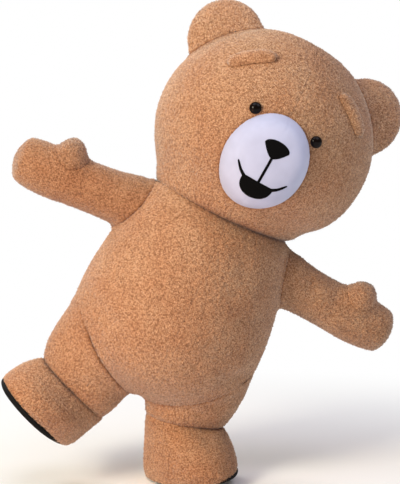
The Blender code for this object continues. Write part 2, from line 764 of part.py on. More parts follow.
def main():
    clear_scene()
    make_materials()
    body = {
        "head": loft(level_rings(HEAD_SECTIONS)),
        "body": loft(level_rings(BODY_SECTIONS)),
        "muzzle": loft(muzzle_rings()),
        "arm_left": loft(arm_rings("left")),
        "arm_right": loft(arm_rings("right")),
        "leg_left": loft(leg_rings(SIDES["left"], LEFT_LEG)),
        "leg_right": loft(leg_rings(SIDES["right"], RIGHT_LEG)),
    }
    for name in ("head", "body"):
        body[f"{name}_skin"] = new_cutter(f"{name}_skin", grown(body[name], SEAM_GAP))
    halves = make_halves("right", "left", axis=0)
    halves |= make_halves("front", "back", axis=1)
    halves |= make_halves("ear_front", "ear_back", axis=1, level=EAR_CENTRE.y)
    make_head(halves, body)
    make_muzzle(body)
    make_appliques(body)
    make_eyes(body)
    make_brows(body)
    make_ears(halves, body)
    make_torso(halves, body)
    make_arms(halves, body)
    make_legs(halves, body)
    make_boots(halves)
    make_zip(body)
    frame = slider_frame()
    make_slider(frame)
    tab_hinge = make_pull_tab(frame)
    finish_pieces(tab_hinge)


main()
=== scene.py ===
"""Bear mascot costume: cloth, pile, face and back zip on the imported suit, in a plain studio.

All of it is drawn with the bear upright and facing -Y, and posed at the end: the head nods
sideways on the neck and the whole suit leans over one foot. Sides are the wearer's.
"""
import math
from collections import namedtuple

import bmesh
import bpy
import numpy as np
from mathutils import Matrix, Vector, noise
from mathutils.bvhtree import BVHTree


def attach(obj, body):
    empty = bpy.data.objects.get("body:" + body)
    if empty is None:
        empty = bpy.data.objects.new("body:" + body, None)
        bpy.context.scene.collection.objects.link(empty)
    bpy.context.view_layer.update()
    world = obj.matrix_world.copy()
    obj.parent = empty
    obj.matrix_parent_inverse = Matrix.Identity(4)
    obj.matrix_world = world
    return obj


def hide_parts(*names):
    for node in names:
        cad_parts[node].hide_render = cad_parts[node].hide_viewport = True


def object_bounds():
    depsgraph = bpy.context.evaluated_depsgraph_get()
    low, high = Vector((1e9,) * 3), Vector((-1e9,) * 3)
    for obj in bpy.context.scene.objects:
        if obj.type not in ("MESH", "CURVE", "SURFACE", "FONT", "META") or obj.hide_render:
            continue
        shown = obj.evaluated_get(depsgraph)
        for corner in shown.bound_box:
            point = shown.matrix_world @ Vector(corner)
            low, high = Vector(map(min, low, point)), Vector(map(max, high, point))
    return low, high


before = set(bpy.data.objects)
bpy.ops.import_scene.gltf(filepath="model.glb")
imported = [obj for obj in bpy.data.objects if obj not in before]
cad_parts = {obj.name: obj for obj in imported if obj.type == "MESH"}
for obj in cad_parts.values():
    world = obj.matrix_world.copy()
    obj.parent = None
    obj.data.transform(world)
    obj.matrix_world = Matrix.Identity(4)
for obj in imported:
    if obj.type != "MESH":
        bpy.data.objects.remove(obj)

cad_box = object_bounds()

MM = 0.001

# Pose of the worn suit.
LEAN = math.radians(25.4)
HEAD_NOD = math.radians(3.6)
NOD_START_HEIGHT = 0.0
NOD_FULL_HEIGHT = 0.25

# Forms of the suit, each down to a pole: height, half width, front and back.
HEAD_ROWS = [
    (0.045, 0.372, 0.330, 0.300),
    (0.120, 0.411, 0.380, 0.345),
    (0.220, 0.489, 0.447, 0.415),
    (0.340, 0.539, 0.488, 0.458),
    (0.480, 0.553, 0.502, 0.480),
    (0.620, 0.528, 0.480, 0.472),
    (0.760, 0.456, 0.415, 0.415),
    (0.880, 0.338, 0.310, 0.315),
    (0.960, 0.198, 0.182, 0.185),
    (0.985, 0.000, 0.000, 0.000),
]
BODY_ROWS = [
    (0.045, 0.372, 0.330, 0.300),
    (-0.060, 0.414, 0.372, 0.334),
    (-0.200, 0.448, 0.408, 0.360),
    (-0.360, 0.479, 0.432, 0.380),
    (-0.520, 0.494, 0.442, 0.394),
    (-0.660, 0.475, 0.430, 0.390),
    (-0.790, 0.413, 0.385, 0.352),
    (-0.880, 0.321, 0.305, 0.275),
    (-0.945, 0.178, 0.172, 0.155),
    (-0.965, 0.000, 0.000, 0.000),
]
# Arm: reach, height, half height and half depth.
ARM_ROWS = [
    (0.300, -0.112, 0.141, 0.146),
    (0.420, -0.116, 0.145, 0.143),
    (0.560, -0.129, 0.131, 0.130),
    (0.700, -0.139, 0.128, 0.124),
    (0.840, -0.148, 0.132, 0.123),
    (0.960, -0.147, 0.125, 0.114),
    (1.020, -0.145, 0.098, 0.088),
    (1.050, -0.143, 0.000, 0.000),
]
ARM_DROP = {"left": 0.016, "right": -0.008}
THUMB_REACH = {"left": 0.814, "right": 0.794}
THUMB_FORWARD = 0.052
THUMB_HEIGHT = -0.042
THUMB_RADII = (0.080, 0.078, 0.094)
THUMB_LEAN = math.radians(16.0)
# Leg: out, height, tilt in degrees, half width, front and back. The last row is the ankle.
LEG_ROWS = {
    "right": [
        (0.235, -0.600, 4.0, 0.232, 0.225, 0.215),
        (0.245, -0.720, 7.0, 0.247, 0.235, 0.225),
        (0.260, -0.840, 10.0, 0.254, 0.232, 0.222),
        (0.288, -0.965, 14.5, 0.238, 0.215, 0.205),
        (0.318, -1.065, 20.4, 0.198, 0.180, 0.172),
    ],
    "left": [
        (0.235, -0.600, 5.0, 0.232, 0.225, 0.215),
        (0.245, -0.710, 8.0, 0.252, 0.235, 0.225),
        (0.255, -0.800, 11.0, 0.255, 0.232, 0.222),
        (0.269, -0.900, 13.0, 0.235, 0.210, 0.200),
        (0.298, -0.985, 14.0, 0.187, 0.172, 0.165),
    ],
}
# Boot: share of the way from the ankle to the sole, half width, front and back.
BOOT_ROWS = [
    (0.16, 0.220, 0.225, 0.186),
    (0.48, 0.243, 0.308, 0.198),
    (0.82, 0.250, 0.338, 0.200),
    (1.00, 0.244, 0.334, 0.194),
]
# Sole: out, height, tilt in degrees and size.
SOLES = {"right": (0.411, -1.245, 22.4, 0.98), "left": (0.408, -1.208, 31.5, 0.92)}
TOE_OUT = math.tan(math.radians(12.0))
# Muzzle: reach, height, half width and half height.
MUZZLE_ROWS = [
    (0.290, 0.347, 0.197, 0.229),
    (0.390, 0.347, 0.205, 0.237),
    (0.460, 0.348, 0.201, 0.233),
    (0.525, 0.350, 0.177, 0.207),
    (0.574, 0.354, 0.124, 0.150),
    (0.594, 0.357, 0.000, 0.000),
]
EAR_CENTRE = (0.400, 0.020, 0.800)
EAR_RADII = (0.195, 0.066, 0.200)
EYE_OUT = 0.164
EYE_HEIGHT = 0.537
EYE_RADIUS = 0.029
EYE_BULGE = 0.021
BROW_INNER = (0.176, 0.802)
BROW_OUTER = (0.366, 0.668)
BROW_ARCH = 0.016
BROW_HALF_WIDTH = 0.040
BROW_PUFF = 0.036
BROW_SQUARENESS = 4

# Cloth and pile.
CLOTH = 3.0 * MM
CLOTH_CELL = 14 * MM
CLOTH_GAP = 3.0 * MM
PILE_CELL = 8.0 * MM
PILE_HEIGHT = 7.0 * MM
ROOT_DEPTH = 6.0 * MM
CLUMP = 15 * MM
CLUMP_RISE = 1.2 * MM
# Tufts: how far their roots and tips stray and lean, in cells, and how tall they are, in shares.
TUFT_SHIFT = 0.25
TUFT_SPREAD = 0.3
TUFT_LEAN = 0.45
TUFT_HEIGHT = 0.65
TUFT_VARIETY = 0.35
TUFT_LIMITS = (0.25, 1.0)
TUFT_FLATTENING = 0.8
ROOT_RISE = 1.0 * MM
# Where the pile's colour starts at its roots, how a seam presses the pile down, and how far along seams and
# ends the pile's colour is darkened as painted shade.
ROOT_TIP = 0.35
SHORT_PALENESS = 0.25
PRESSED_HEIGHT = 0.3
END_SHADE_SHARE = 0.8
SEAM_SHADE_FULL_DEPTH = 5 * MM
SEAM_SHADE_WIDTH = 7 * MM
ARM_STEP = 12 * MM
CUT_REACH = 16 * MM
MUZZLE_CELL = 7 * MM
NECK_DIP = 0.028
NECK_DIP_REACH = 0.085

# Felt on the muzzle.
FELT = 2.0 * MM
FELT_CELL = 4 * MM
FELT_RIM = 0.45
NOSE_HEIGHT = 0.417
NOSE_HALF_WIDTH = 0.064
NOSE_RISE = 0.032
NOSE_DROP = 0.056
NOSE_POINTEDNESS = 1.6
LINE_HALF_WIDTH = 0.0065
LIP_HEIGHT = 0.241
MOUTH_HALF_WIDTH = 0.080
MOUTH_TOP = -0.005
MOUTH_DEPTH = 0.074
MOUTH_FULLNESS = 0.8
# The smile's stroke round from the half-moon's corner: out from that corner, and up from the lip.
SMILE_STROKE = [
    (0.000, -0.010), (0.024, 0.009), (0.049, 0.041), (0.044, 0.046), (0.014, 0.017), (-0.012, 0.001),
]

WHOLE = (0.0, 1.0)
SIDES = {"left": 1.0, "right": -1.0}
FRONT = (-math.pi / 2, math.pi / 2)
BACK = (math.pi / 2, 3 * math.pi / 2)
ROUND = (0.0, math.tau)
QUARTERS = {
    "front_left": (0.0, math.pi / 2),
    "back_left": (math.pi / 2, math.pi),
    "back_right": (math.pi, 3 * math.pi / 2),
    "front_right": (-math.pi / 2, 0.0),
}

# How finely the skins and the outlines are drawn.
SKIN_CELLS = (96, 64)
NOSE_POINTS = 96
MOUTH_POINTS = 24
STROKE_POINTS = 40

# The sole's profile from the middle of its upper face to the middle of its flat one: share of
# its width, growth past the boot and drop below the boot.
SOLE_PROFILE = [
    (0.00, 0.000, 0.0000), (0.50, 0.000, 0.0000), (0.97, 0.000, 0.0000), (1.00, 0.001, 0.0006),
    (1.00, 0.004, 0.0040), (1.00, 0.006, 0.0090), (1.00, 0.0055, 0.0150), (1.00, 0.002, 0.0210),
    (1.00, -0.004, 0.0248), (1.00, -0.012, 0.0260), (0.60, -0.005, 0.0260), (0.00, 0.000, 0.0260),
]

SOLE_CELLS = (96, 40)

# Back zip.
ZIP_TOP = -0.030
ZIP_BOTTOM = -0.660
ZIP_REACH = 0.026
ZIP_FADE = 0.03
ZIP_OPEN = 5.6 * MM
TAPE_COVER = 0.06
TAPE_FLATTENING = 0.9
COIL_PITCH = 2.6 * MM
COIL_TOOTH = (5.6 * MM, 1.6 * MM, 1.5 * MM)
COIL_RISE = 0.7 * MM
COIL_STAGGER = 0.5 * MM

# Cutting: the blank of an ear, and how finely a panel is measured and rounded.
EAR_CUT = (0.400, 0.410)
CUT_SAMPLES = 96
CUT_STEP = 5 * MM

# Seams: how deep and how wide the cloth is drawn in, and over what width two forms run together.
SEAM_DEPTH = 0.4 * MM
SEAM_WIDTH = 4 * MM
NECK_DEPTH = 20 * MM
NECK_WIDTH = 15 * MM
ANKLE_DEPTH = 10 * MM
ANKLE_WIDTH = 10 * MM
ANKLE_FULLNESS = 30 * MM
FULLNESS_REACH = 90 * MM
RING_REACH = 30 * MM
SEAM_CLEARANCE = 50 * MM
EAR_BLEND = 40 * MM
ARM_BLEND = 40 * MM
LEG_BLEND = 60 * MM
THUMB_BLEND = 50 * MM
BROW_BLEND = 20 * MM
WAVE_LENGTH = 0.20
GRIP_RUN = 80 * MM
GRIP_LEAST = 0.08
# How much a sewn end is drawn in from the wearer's inner or right side (-1) to the other (1).
NECK_GRIP = ((-1.0, 0.25), (-0.4, 0.6), (0.0, 1.0), (1.0, 1.0))
ANKLE_GRIP = {"left": ((-0.6, 0.0), (0.3, 1.0)), "right": ((-0.85, 0.0), (-0.1, 1.0))}
# How much of the sole's edge the boot's fur covers, from its inner side (-1) to its outer (1).
HEM_COVER = {
    "left": ((-1.0, 1.0), (0.15, 1.0), (0.6, 0.45), (1.0, 0.1)),
    "right": ((-1.0, 1.0), (-0.8, 0.8), (-0.45, 0.0), (0.6, 0.0), (1.0, 0.6)),
}
HEM_DROP = 21 * MM
HEM_DROP_REACH = 35 * MM
HEM_TUCK = 18 * MM
HEM_TURN = 6 * MM
HEM_TURN_REACH = 10 * MM

# Camera, in the lens's own terms for an image 400 wide and 484 high.
CAMERA_AZIMUTH = -5.7
CAMERA_ELEVATION = 5.0
CAMERA_DISTANCE = 7.0
CAMERA_LEFT = 0.0935
CAMERA_DOWN = 0.115
CAMERA_FOCAL_PX = 1400
IMAGE_HEIGHT_PX = 484
SENSOR_SIZE = 24

FLOOR_RADIUS = 30.0
WORLD_STRENGTH = 0.27
# Lights: place, size, power and colour.
LIGHTS = [
    ("key", (-5.2, -5.0, 3.2), 2.6, 490, "fff6dc"),
    ("fill", (2.8, -2.4, 4.8), 3.5, 125, "e8e2f4"),
    ("rim", (-2.5, 3.5, 3.5), 2.0, 120, "ffffff"),
    ("sky", (-1.2, -1.6, 5.4), 3.5, 120, "e4ecff"),
    ("bounce", (-2.6, -2.4, -1.0), 1.0, 34, "ff9a54"),
]


# Curves and forms


def smooth(rows, radial=None):
    """A function that gives the smooth curve's columns at s, counted in rows, and fine samples of it.

    Where the rows end at a pole, their columns from radial on are radii: the curve goes on
    through the pole to the other side, which makes the pole round.
    """
    rows = np.array(rows, float)
    first = 2 * rows[0] - rows[1]
    last = 2 * rows[-1] - rows[-2]
    if radial is not None:
        last = rows[-2].copy()
        last[radial:] *= -1
    padded = np.vstack([first, rows, last])

    def curve(s):
        i = np.clip(np.floor(s).astype(int), 0, len(rows) - 2)
        t = (s - i)[:, None]
        a, b, c, d = padded[i], padded[i + 1], padded[i + 2], padded[i + 3]
        return 0.5 * (2 * b + (c - a) * t + (2 * a - 5 * b + 4 * c - d) * t**2
                      + (3 * b - a - 3 * c + d) * t**3)

    s = np.linspace(0, len(rows) - 1, 600)
    return curve, s, curve(s)


def even(rows, radial=None, path=(0, 1)):
    """The smooth curve read evenly, from 0 to 1, along the length of its path columns."""
    curve, s, fine = smooth(rows, radial)
    steps = np.linalg.norm(np.diff(fine[:, list(path)], axis=0), axis=1)
    length = np.concatenate([[0], np.cumsum(steps)])
    return lambda t: curve(np.interp(t, length / length[-1], s))


Form = namedtuple("Form", "place tree sign length")


def stack(x, y, z):
    return np.stack([x, y, z], axis=1)


def unit(vectors):
    return vectors / np.maximum(np.linalg.norm(vectors, axis=1, keepdims=True), 1e-9)


def normals(form, u, t):
    """Outward directions of the form by small steps along u and t."""
    t = np.clip(t, 0.006, 0.993)
    du = form.place(u + 0.004, t) - form.place(u - 0.004, t)
    dt = form.place(u, t + 0.004) - form.place(u, t - 0.004)
    return unit(np.cross(du, dt) * form.sign)


def path_length(points):
    return np.linalg.norm(np.diff(points, axis=0), axis=1).sum()


def make_form(place):
    """Find which way is out, and keep a coarse skin of the form for measuring distances."""
    u, t = np.linspace(0, math.tau, 40), np.full(40, 0.5)
    out = place(u, t) - place(u, t).mean(axis=0)
    length = path_length(place(np.zeros(120), np.linspace(0, 1, 120)))
    sign = 1.0 if (normals(Form(place, None, 1.0, length), u, t) * out).sum() > 0 else -1.0
    bm, u, t = grid(*SKIN_CELLS, ROUND, WHOLE)
    move(bm, place(u, t))
    bmesh.ops.remove_doubles(bm, verts=bm.verts, dist=0.1 * MM)
    bmesh.ops.recalc_face_normals(bm, faces=bm.faces)
    tree = BVHTree.FromBMesh(bm)
    bm.free()
    return Form(place, tree, sign, length)


def level_form(rows):
    """A form of level ovals, whose neck seam dips in front."""
    profile = even(rows, radial=1)
    seam = rows[0][0]

    def place(u, t):
        height, half_width, front, back = profile(t).T
        depth = np.where(np.cos(u) > 0, front, back)
        dip = NECK_DIP * np.clip(np.cos(u), 0, 1) ** 2 * np.exp(-((height - seam) / NECK_DIP_REACH) ** 2)
        return stack(half_width * np.sin(u), -depth * np.cos(u), height - dip)

    return make_form(place)


def arm_form(side):
    profile = even(ARM_ROWS, radial=2, path=(0, 2))

    def place(u, t):
        reach, height, half_height, half_depth = profile(t).T
        z = height - ARM_DROP[side] + half_height * np.sin(u)
        return stack(SIDES[side] * reach, -half_depth * np.cos(u), z)

    return make_form(place)


def tipped(side, out, height, tilt, half_width, front, back, toe_out, u):
    """An oval whose outer side is raised by tilt degrees and whose front is turned outwards."""
    angle = np.radians(tilt)
    depth = np.where(np.cos(u) > 0, front, back) * np.cos(u)
    across = half_width * np.sin(u) + depth * toe_out
    return stack(SIDES[side] * (out + across * np.cos(angle)), -depth, height + across * np.sin(angle))


def leg_form(side):
    profile = even(LEG_ROWS[side])
    return make_form(lambda u, t: tipped(side, *profile(t).T, 0.0, u))


def boot_form(side):
    """The boot's sections: the ankle's own, and then ever nearer to the sole's place and tilt."""
    ankle, sole = LEG_ROWS[side][-1], SOLES[side]
    rows = [(0.0, *ankle[3:])]
    rows += [(share, *(size * sole[3] for size in sizes)) for share, *sizes in BOOT_ROWS]
    curve, s, fine = smooth(rows)

    def place(u, t):
        share, half_width, front, back = curve(np.interp(t, fine[:, 0], s)).T
        out, height, tilt = (a + (b - a) * share for a, b in zip(ankle[:3], sole[:3]))
        return tipped(side, out, height, tilt, half_width, front, back, TOE_OUT * share, u)

    return make_form(place)


def sole_form(side):
    """A closed pad: its upper face, its rounded edge and the flat face that meets the ground."""
    out, height, tilt, size = SOLES[side]
    profile = np.array(SOLE_PROFILE)
    angle = math.radians(tilt)

    def place(u, t):
        share, grow, drop = (np.interp(t, np.linspace(0, 1, len(profile)), column) for column in profile.T)
        grow = grow - HEM_TUCK * np.interp(np.sin(u), *zip(*HEM_COVER[side]))
        half_width, front, back = (share * (row * size + grow) for row in BOOT_ROWS[-1][1:])
        centre, level = out + drop * math.sin(angle), height - drop * math.cos(angle)
        return tipped(side, centre, level, tilt, half_width, front, back, TOE_OUT, u)

    return make_form(place)


def muzzle_form():
    profile = even(MUZZLE_ROWS, radial=2, path=(0, 2))

    def place(u, t):
        reach, height, half_width, half_height = profile(t).T
        return stack(half_width * np.sin(u), -reach, height + half_height * np.cos(u))

    return make_form(place)


def ear_form(side, facing):
    """Half of the ear's pad, from its rim to the middle of its face."""
    def place(u, t):
        a = t * math.pi / 2
        x = SIDES[side] * EAR_CENTRE[0] + EAR_RADII[0] * np.cos(a) * np.cos(u)
        y = EAR_CENTRE[1] + facing * EAR_RADII[1] * np.sin(a)
        return stack(x, y, EAR_CENTRE[2] + EAR_RADII[2] * np.cos(a) * np.sin(u))

    return make_form(place)


def ear_whole(side):
    """The whole ear's pad, from the middle of its front to the middle of its back."""
    def place(u, t):
        a = (t - 0.5) * math.pi
        x = SIDES[side] * EAR_CENTRE[0] + EAR_RADII[0] * np.cos(a) * np.cos(u)
        z = EAR_CENTRE[2] + EAR_RADII[2] * np.cos(a) * np.sin(u)
        return stack(x, EAR_CENTRE[1] + EAR_RADII[1] * np.sin(a), z)

    return make_form(place)


def thumb_form(side):
    lean = SIDES[side] * THUMB_LEAN

    def place(u, t):
        a = math.pi * (1 - t)
        x = THUMB_RADII[0] * np.sin(a) * np.cos(u)
        y = THUMB_RADII[1] * np.sin(a) * np.sin(u)
        z = THUMB_RADII[2] * np.cos(a)
        return stack(
            SIDES[side] * THUMB_REACH[side] + x * math.cos(lean) + z * math.sin(lean),
            y - THUMB_FORWARD,
            THUMB_HEIGHT - ARM_DROP[side] - x * math.sin(lean) + z * math.cos(lean),
        )

    return make_form(place)


def face_place(out, height):
    """Points on the front of the head at distances out and heights."""
    fine = smooth(HEAD_ROWS, radial=1)[2]
    half_width = np.interp(height, fine[:, 0], fine[:, 1])
    front = np.interp(height, fine[:, 0], fine[:, 2])
    return stack(out, -front * np.sqrt(1 - (out / half_width) ** 2), height)


def face_outward(out, height):
    step = 4 * MM
    across = face_place(out + step, height) - face_place(out - step, height)
    upward = face_place(out, height + step) - face_place(out, height - step)
    return unit(np.cross(across, upward))


def brow_form(side):
    """A padded bar with round ends, laid along the forehead."""
    sign = SIDES[side]

    def place(u, t):
        t = (1 - np.cos(math.pi * np.clip(t, 0, 1))) / 2
        out = sign * (BROW_INNER[0] + (BROW_OUTER[0] - BROW_INNER[0]) * t)
        height = BROW_INNER[1] + (BROW_OUTER[1] - BROW_INNER[1]) * t + BROW_ARCH * np.sin(math.pi * t)
        outward = face_outward(out, height)
        along = (sign * (BROW_OUTER[0] - BROW_INNER[0]), 0, BROW_OUTER[1] - BROW_INNER[1])
        across = unit(np.cross(outward, along))
        size = np.sqrt(np.clip(1 - np.abs(2 * t - 1) ** BROW_SQUARENESS, 0, 1))
        return (face_place(out, height) + across * (BROW_HALF_WIDTH * size * np.sin(u))[:, None]
                + outward * (BROW_PUFF * size * np.cos(u))[:, None])

    return make_form(place)


# Grids


def grid(columns, rows, u_range, t_range):
    """An even grid with its UV map, and the u and t of each corner."""
    bm = bmesh.new()
    bm.loops.layers.uv.new("OFBake")
    bmesh.ops.create_grid(bm, x_segments=columns, y_segments=rows, size=0.5, calc_uvs=True)
    flat = coords(bm)[:, :2] + 0.5
    u = u_range[0] + (u_range[1] - u_range[0]) * flat[:, 0]
    t = t_range[0] + (t_range[1] - t_range[0]) * flat[:, 1]
    return bm, u, t


def coords(bm):
    return np.array([vert.co[:] for vert in bm.verts])


def move(bm, points):
    for vert, point in zip(bm.verts, points):
        vert.co = point


def counts(form, u_range, t_range, cell):
    """How many cells go round the form's widest row and along its length."""
    u, t = np.linspace(*u_range, 60), np.linspace(*t_range, 60)
    widest = max(path_length(form.place(u, np.full(60, at))) for at in np.linspace(*t_range, 12))
    longest = max(path_length(form.place(np.full(60, at), t)) for at in np.linspace(*u_range, 7))
    return max(4, round(widest / cell)), max(4, round(longest / cell))


def distance(tree, points):
    """How far each point is outside the skin, or inside where it is negative, and which way is out."""
    away, outward = np.zeros(len(points)), np.zeros((len(points), 3))
    for i, point in enumerate(points):
        spot, normal, _, reach = tree.find_nearest(point)
        offset = Vector(point) - spot
        side = 1.0 if offset.dot(normal) > 0 else -1.0
        away[i] = side * reach
        outward[i] = offset * (side / reach) if reach > 2 * MM else normal
    return away, outward


def wander(points, scale, seed):
    """Soft noise of about -1 to 1 whose waves are about scale metres long, turned off the grids' rows."""
    shift = Vector((seed * 7.3, seed * 3.1, seed * 5.7))
    turned = Matrix.Rotation(0.9, 3, Vector((1, 2, 3)))
    return np.array([noise.noise(turned @ Vector(point) / scale + shift) for point in points])


def orient(bm, form, u_range, t_range):
    """Turn the faces outwards where the grid came out the other way round."""
    bm.normal_update()
    u, t = np.array([sum(u_range) / 2]), np.array([sum(t_range) / 2])
    spot, outward = Vector(form.place(u, t)[0]), Vector(normals(form, u, t)[0])
    nearest = min(bm.faces, key=lambda face: (face.calc_center_median() - spot).length)
    if nearest.normal.dot(outward) < 0:
        bmesh.ops.reverse_faces(bm, faces=bm.faces)


# Seams and folds

# A seam with a neighbour, found from the neighbour's skin: how deep and wide the cloth is drawn
# in there, over what width the two forms run into each other, how deep the cloth is buried, and
# where along the seam it is drawn in.
Seam = namedtuple("Seam", "skin depth width blend bury grip", defaults=(0.0, None))
# A panel's own sewn end, whose ring lies square to axis: a crease as deep as its grip says from
# side to side, and a fullness where it isn't gripped.
End = namedtuple("End", "t depth width axis grip fullness")
# The edge of a boot that hangs over its sole: which way is down, and how far from side to side.
Hem = namedtuple("Hem", "down cover")
# A fold drawn in the front view's plane, on the front and the back alike.
Fold = namedtuple("Fold", "points depth width")
# A panel: where it lies on its form, what shapes it, its nap and its random seed.
Panel = namedtuple("Panel", "form u_range t_range seams ends planes folds wave nap seed hem",
                   defaults=(None,))

# The folds of the worn suit, in its own standing frame, which the back has much like the front.
BODY_FOLDS = [
    Fold([(-0.50, -0.60), (-0.38, -0.62), (-0.24, -0.70)], 10 * MM, 38 * MM),
    Fold([(0.50, -0.62), (0.40, -0.65), (0.28, -0.74)], 10 * MM, 38 * MM),
    Fold([(-0.44, -0.25), (-0.30, -0.33), (-0.14, -0.37)], 6 * MM, 50 * MM),
    Fold([(0.48, -0.27), (0.34, -0.36), (0.16, -0.41)], 6 * MM, 52 * MM),
    Fold([(0.10, -0.02), (0.18, -0.18), (0.19, -0.38)], 5 * MM, 55 * MM),
    Fold([(-0.16, -0.02), (-0.25, -0.16), (-0.28, -0.30)], 5 * MM, 50 * MM),
    Fold([(-0.34, -0.44), (-0.16, -0.54), (0.04, -0.58)], 5 * MM, 60 * MM),
    Fold([(0.36, -0.48), (0.20, -0.60), (0.08, -0.78)], 5 * MM, 60 * MM),
]
SLEEVE_FOLDS = {
    "left": [
        Fold([(0.50, 0.00), (0.54, -0.10), (0.62, -0.24)], 5 * MM, 32 * MM),
        Fold([(0.66, -0.02), (0.70, -0.14), (0.70, -0.26)], 5 * MM, 32 * MM),
    ],
    "right": [
        Fold([(-0.50, 0.02), (-0.56, -0.10), (-0.58, -0.22)], 5 * MM, 32 * MM),
        Fold([(-0.68, -0.01), (-0.66, -0.12), (-0.70, -0.24)], 5 * MM, 32 * MM),
    ],
}
LEG_FOLDS = {
    "left": [
        Fold([(0.10, -0.95), (0.24, -0.90), (0.42, -0.91)], 6 * MM, 26 * MM),
        Fold([(0.50, -0.74), (0.38, -0.82), (0.28, -0.86)], 5 * MM, 32 * MM),
    ],
    "right": [
        Fold([(-0.52, -0.79), (-0.42, -0.88), (-0.28, -0.94)], 6 * MM, 32 * MM),
        Fold([(-0.12, -1.00), (-0.24, -0.99), (-0.38, -1.03)], 5 * MM, 28 * MM),
    ],
}
MUZZLE_FOLDS = [
    Fold([(0.0, 0.600), (0.0, 0.455)], 1.2 * MM, 4 * MM),
    Fold([(0.0, 0.165), (0.0, 0.105)], 1.6 * MM, 4 * MM),
]


def fold_sink(folds, points):
    """How deep the given folds are at each point, fading out towards both ends."""
    sink = np.zeros(len(points))
    for fold in folds:
        line = np.array(fold.points)
        lengths = np.linalg.norm(np.diff(line, axis=0), axis=1)
        run = np.concatenate([[0], np.cumsum(lengths)]) / lengths.sum()
        nearest = np.full(len(points), np.inf)
        along = np.zeros(len(points))
        for i, (a, b) in enumerate(zip(line, line[1:])):
            ab = b - a
            offset = points[:, [0, 2]] - a
            share = np.clip((offset @ ab) / (ab @ ab), 0, 1)
            away = np.linalg.norm(offset - share[:, None] * ab, axis=1)
            closer = away < nearest
            nearest[closer] = away[closer]
            along[closer] = (run[i] + (run[i + 1] - run[i]) * share)[closer]
        fade = np.clip(3 * np.minimum(along, 1 - along), 0, 1)
        fade = fade**2 * (3 - 2 * fade)
        sink += fold.depth * fade * np.exp(-((nearest / fold.width) ** 2))
    return sink


def run_together(points, outward, seams):
    """Move the points onto the skin that runs smoothly from this form into its neighbours."""
    placed, direction = points.copy(), outward.copy()
    for seam in seams:
        if not seam.blend:
            continue
        near = np.flatnonzero(distance(seam.skin, points)[0] < seam.blend)
        if len(near) == 0:
            continue
        start, own = placed[near], direction[near]
        spot = start.copy()
        for _ in range(3):
            field = ((spot - start) * own).sum(axis=1)
            away, out = distance(seam.skin, spot)
            overlap = np.clip(1 - np.abs(field - away) / seam.blend, 0, 1)
            share = np.where(away < field, 1 - overlap / 2, overlap / 2)[:, None]
            field = np.minimum(field, away) - overlap**2 * seam.blend / 4
            slope = own * (1 - share) + out * share
            spot = spot - slope * (field / (slope**2).sum(axis=1))[:, None]
        placed[near] = spot
        direction[near] = unit(slope)
    return placed, direction


def shape(panel, u, t, points, root):
    """Lay the points on the worn suit's form, root below the tips of the pile there."""
    outward = normals(panel.form, u, t)
    sink = fold_sink(panel.folds, points) + panel.wave * (1 + wander(points, WAVE_LENGTH, 1.0))
    # seam_shade is painted shade: how much the pile's colour is darkened along seams and ends, from 0 to 1.
    seam_shade = np.zeros(len(points))
    near = [np.abs(distance(seam.skin, points)[0]) for seam in panel.seams]
    free = np.min([np.clip(away / SEAM_CLEARANCE, 0, 1) for away in near] + [np.ones(len(points))], axis=0)
    for axis, level in panel.planes:
        sink += SEAM_DEPTH * np.exp(-np.abs(points[:, axis] - level) / SEAM_WIDTH)
    for end in panel.ends:
        away = np.abs(t - end.t) * panel.form.length
        grip = np.interp(np.sin(u), *zip(*end.grip))
        sink += end.depth * grip * np.exp(-away / end.width)
        seam_shade = np.maximum(seam_shade, grip * np.exp(-away / (END_SHADE_SHARE * end.width)))
        sink -= end.fullness * (1 - grip) * free * np.exp(-((away / FULLNESS_REACH) ** 2))
        share = np.exp(-away / RING_REACH)[:, None]
        axis = np.array(end.axis)
        ring = unit(outward - (outward @ axis)[:, None] * axis)
        outward = unit(outward * (1 - share) + ring * share)
    placed, outward = run_together(points, outward, panel.seams)
    for seam, away in zip(panel.seams, near):
        grip = seam.grip(points, outward) if seam.grip else 1.0
        sink += seam.depth * grip * np.exp(-away / seam.width)
        seam_shade = np.maximum(seam_shade, min(1.0, seam.depth / SEAM_SHADE_FULL_DEPTH) * grip * np.exp(-away / SEAM_SHADE_WIDTH))
    over_tape = zip_shape(points, TAPE_COVER)
    depth = root * (1 - TAPE_FLATTENING * over_tape) + sink * (1 - over_tape)
    placed = placed - outward * depth[:, None]
    placed[:, 0] += np.sign(placed[:, 0]) * ZIP_OPEN * zip_shape(points)
    if panel.hem:
        cover = np.interp(np.sin(u), *zip(*panel.hem.cover))
        away = (1 - t) * panel.form.length
        placed += np.outer(HEM_DROP * cover * np.exp(-away / HEM_DROP_REACH), panel.hem.down)
        placed -= outward * (HEM_TURN * cover * np.exp(-away / HEM_TURN_REACH))[:, None]
    return placed, outward, seam_shade


def cut_away(bm, seams):
    """Take off what lies under the neighbouring forms, and draw the cut edge onto the seam."""
    for seam in seams:
        limit = -seam.bury
        away = distance(seam.skin, [face.calc_center_median()[:] for face in bm.faces])[0]
        gone = [face for face, value in zip(bm.faces, away) if value < limit]
        bmesh.ops.delete(bm, geom=gone, context="FACES")
        edge = [vert for vert in bm.verts if vert.is_boundary]
        if not edge:
            continue
        away, out = distance(seam.skin, [vert.co[:] for vert in edge])
        for vert, value, direction in zip(edge, away, out):
            if abs(value - limit) < CUT_REACH:
                vert.co += Vector(direction) * (limit - value)


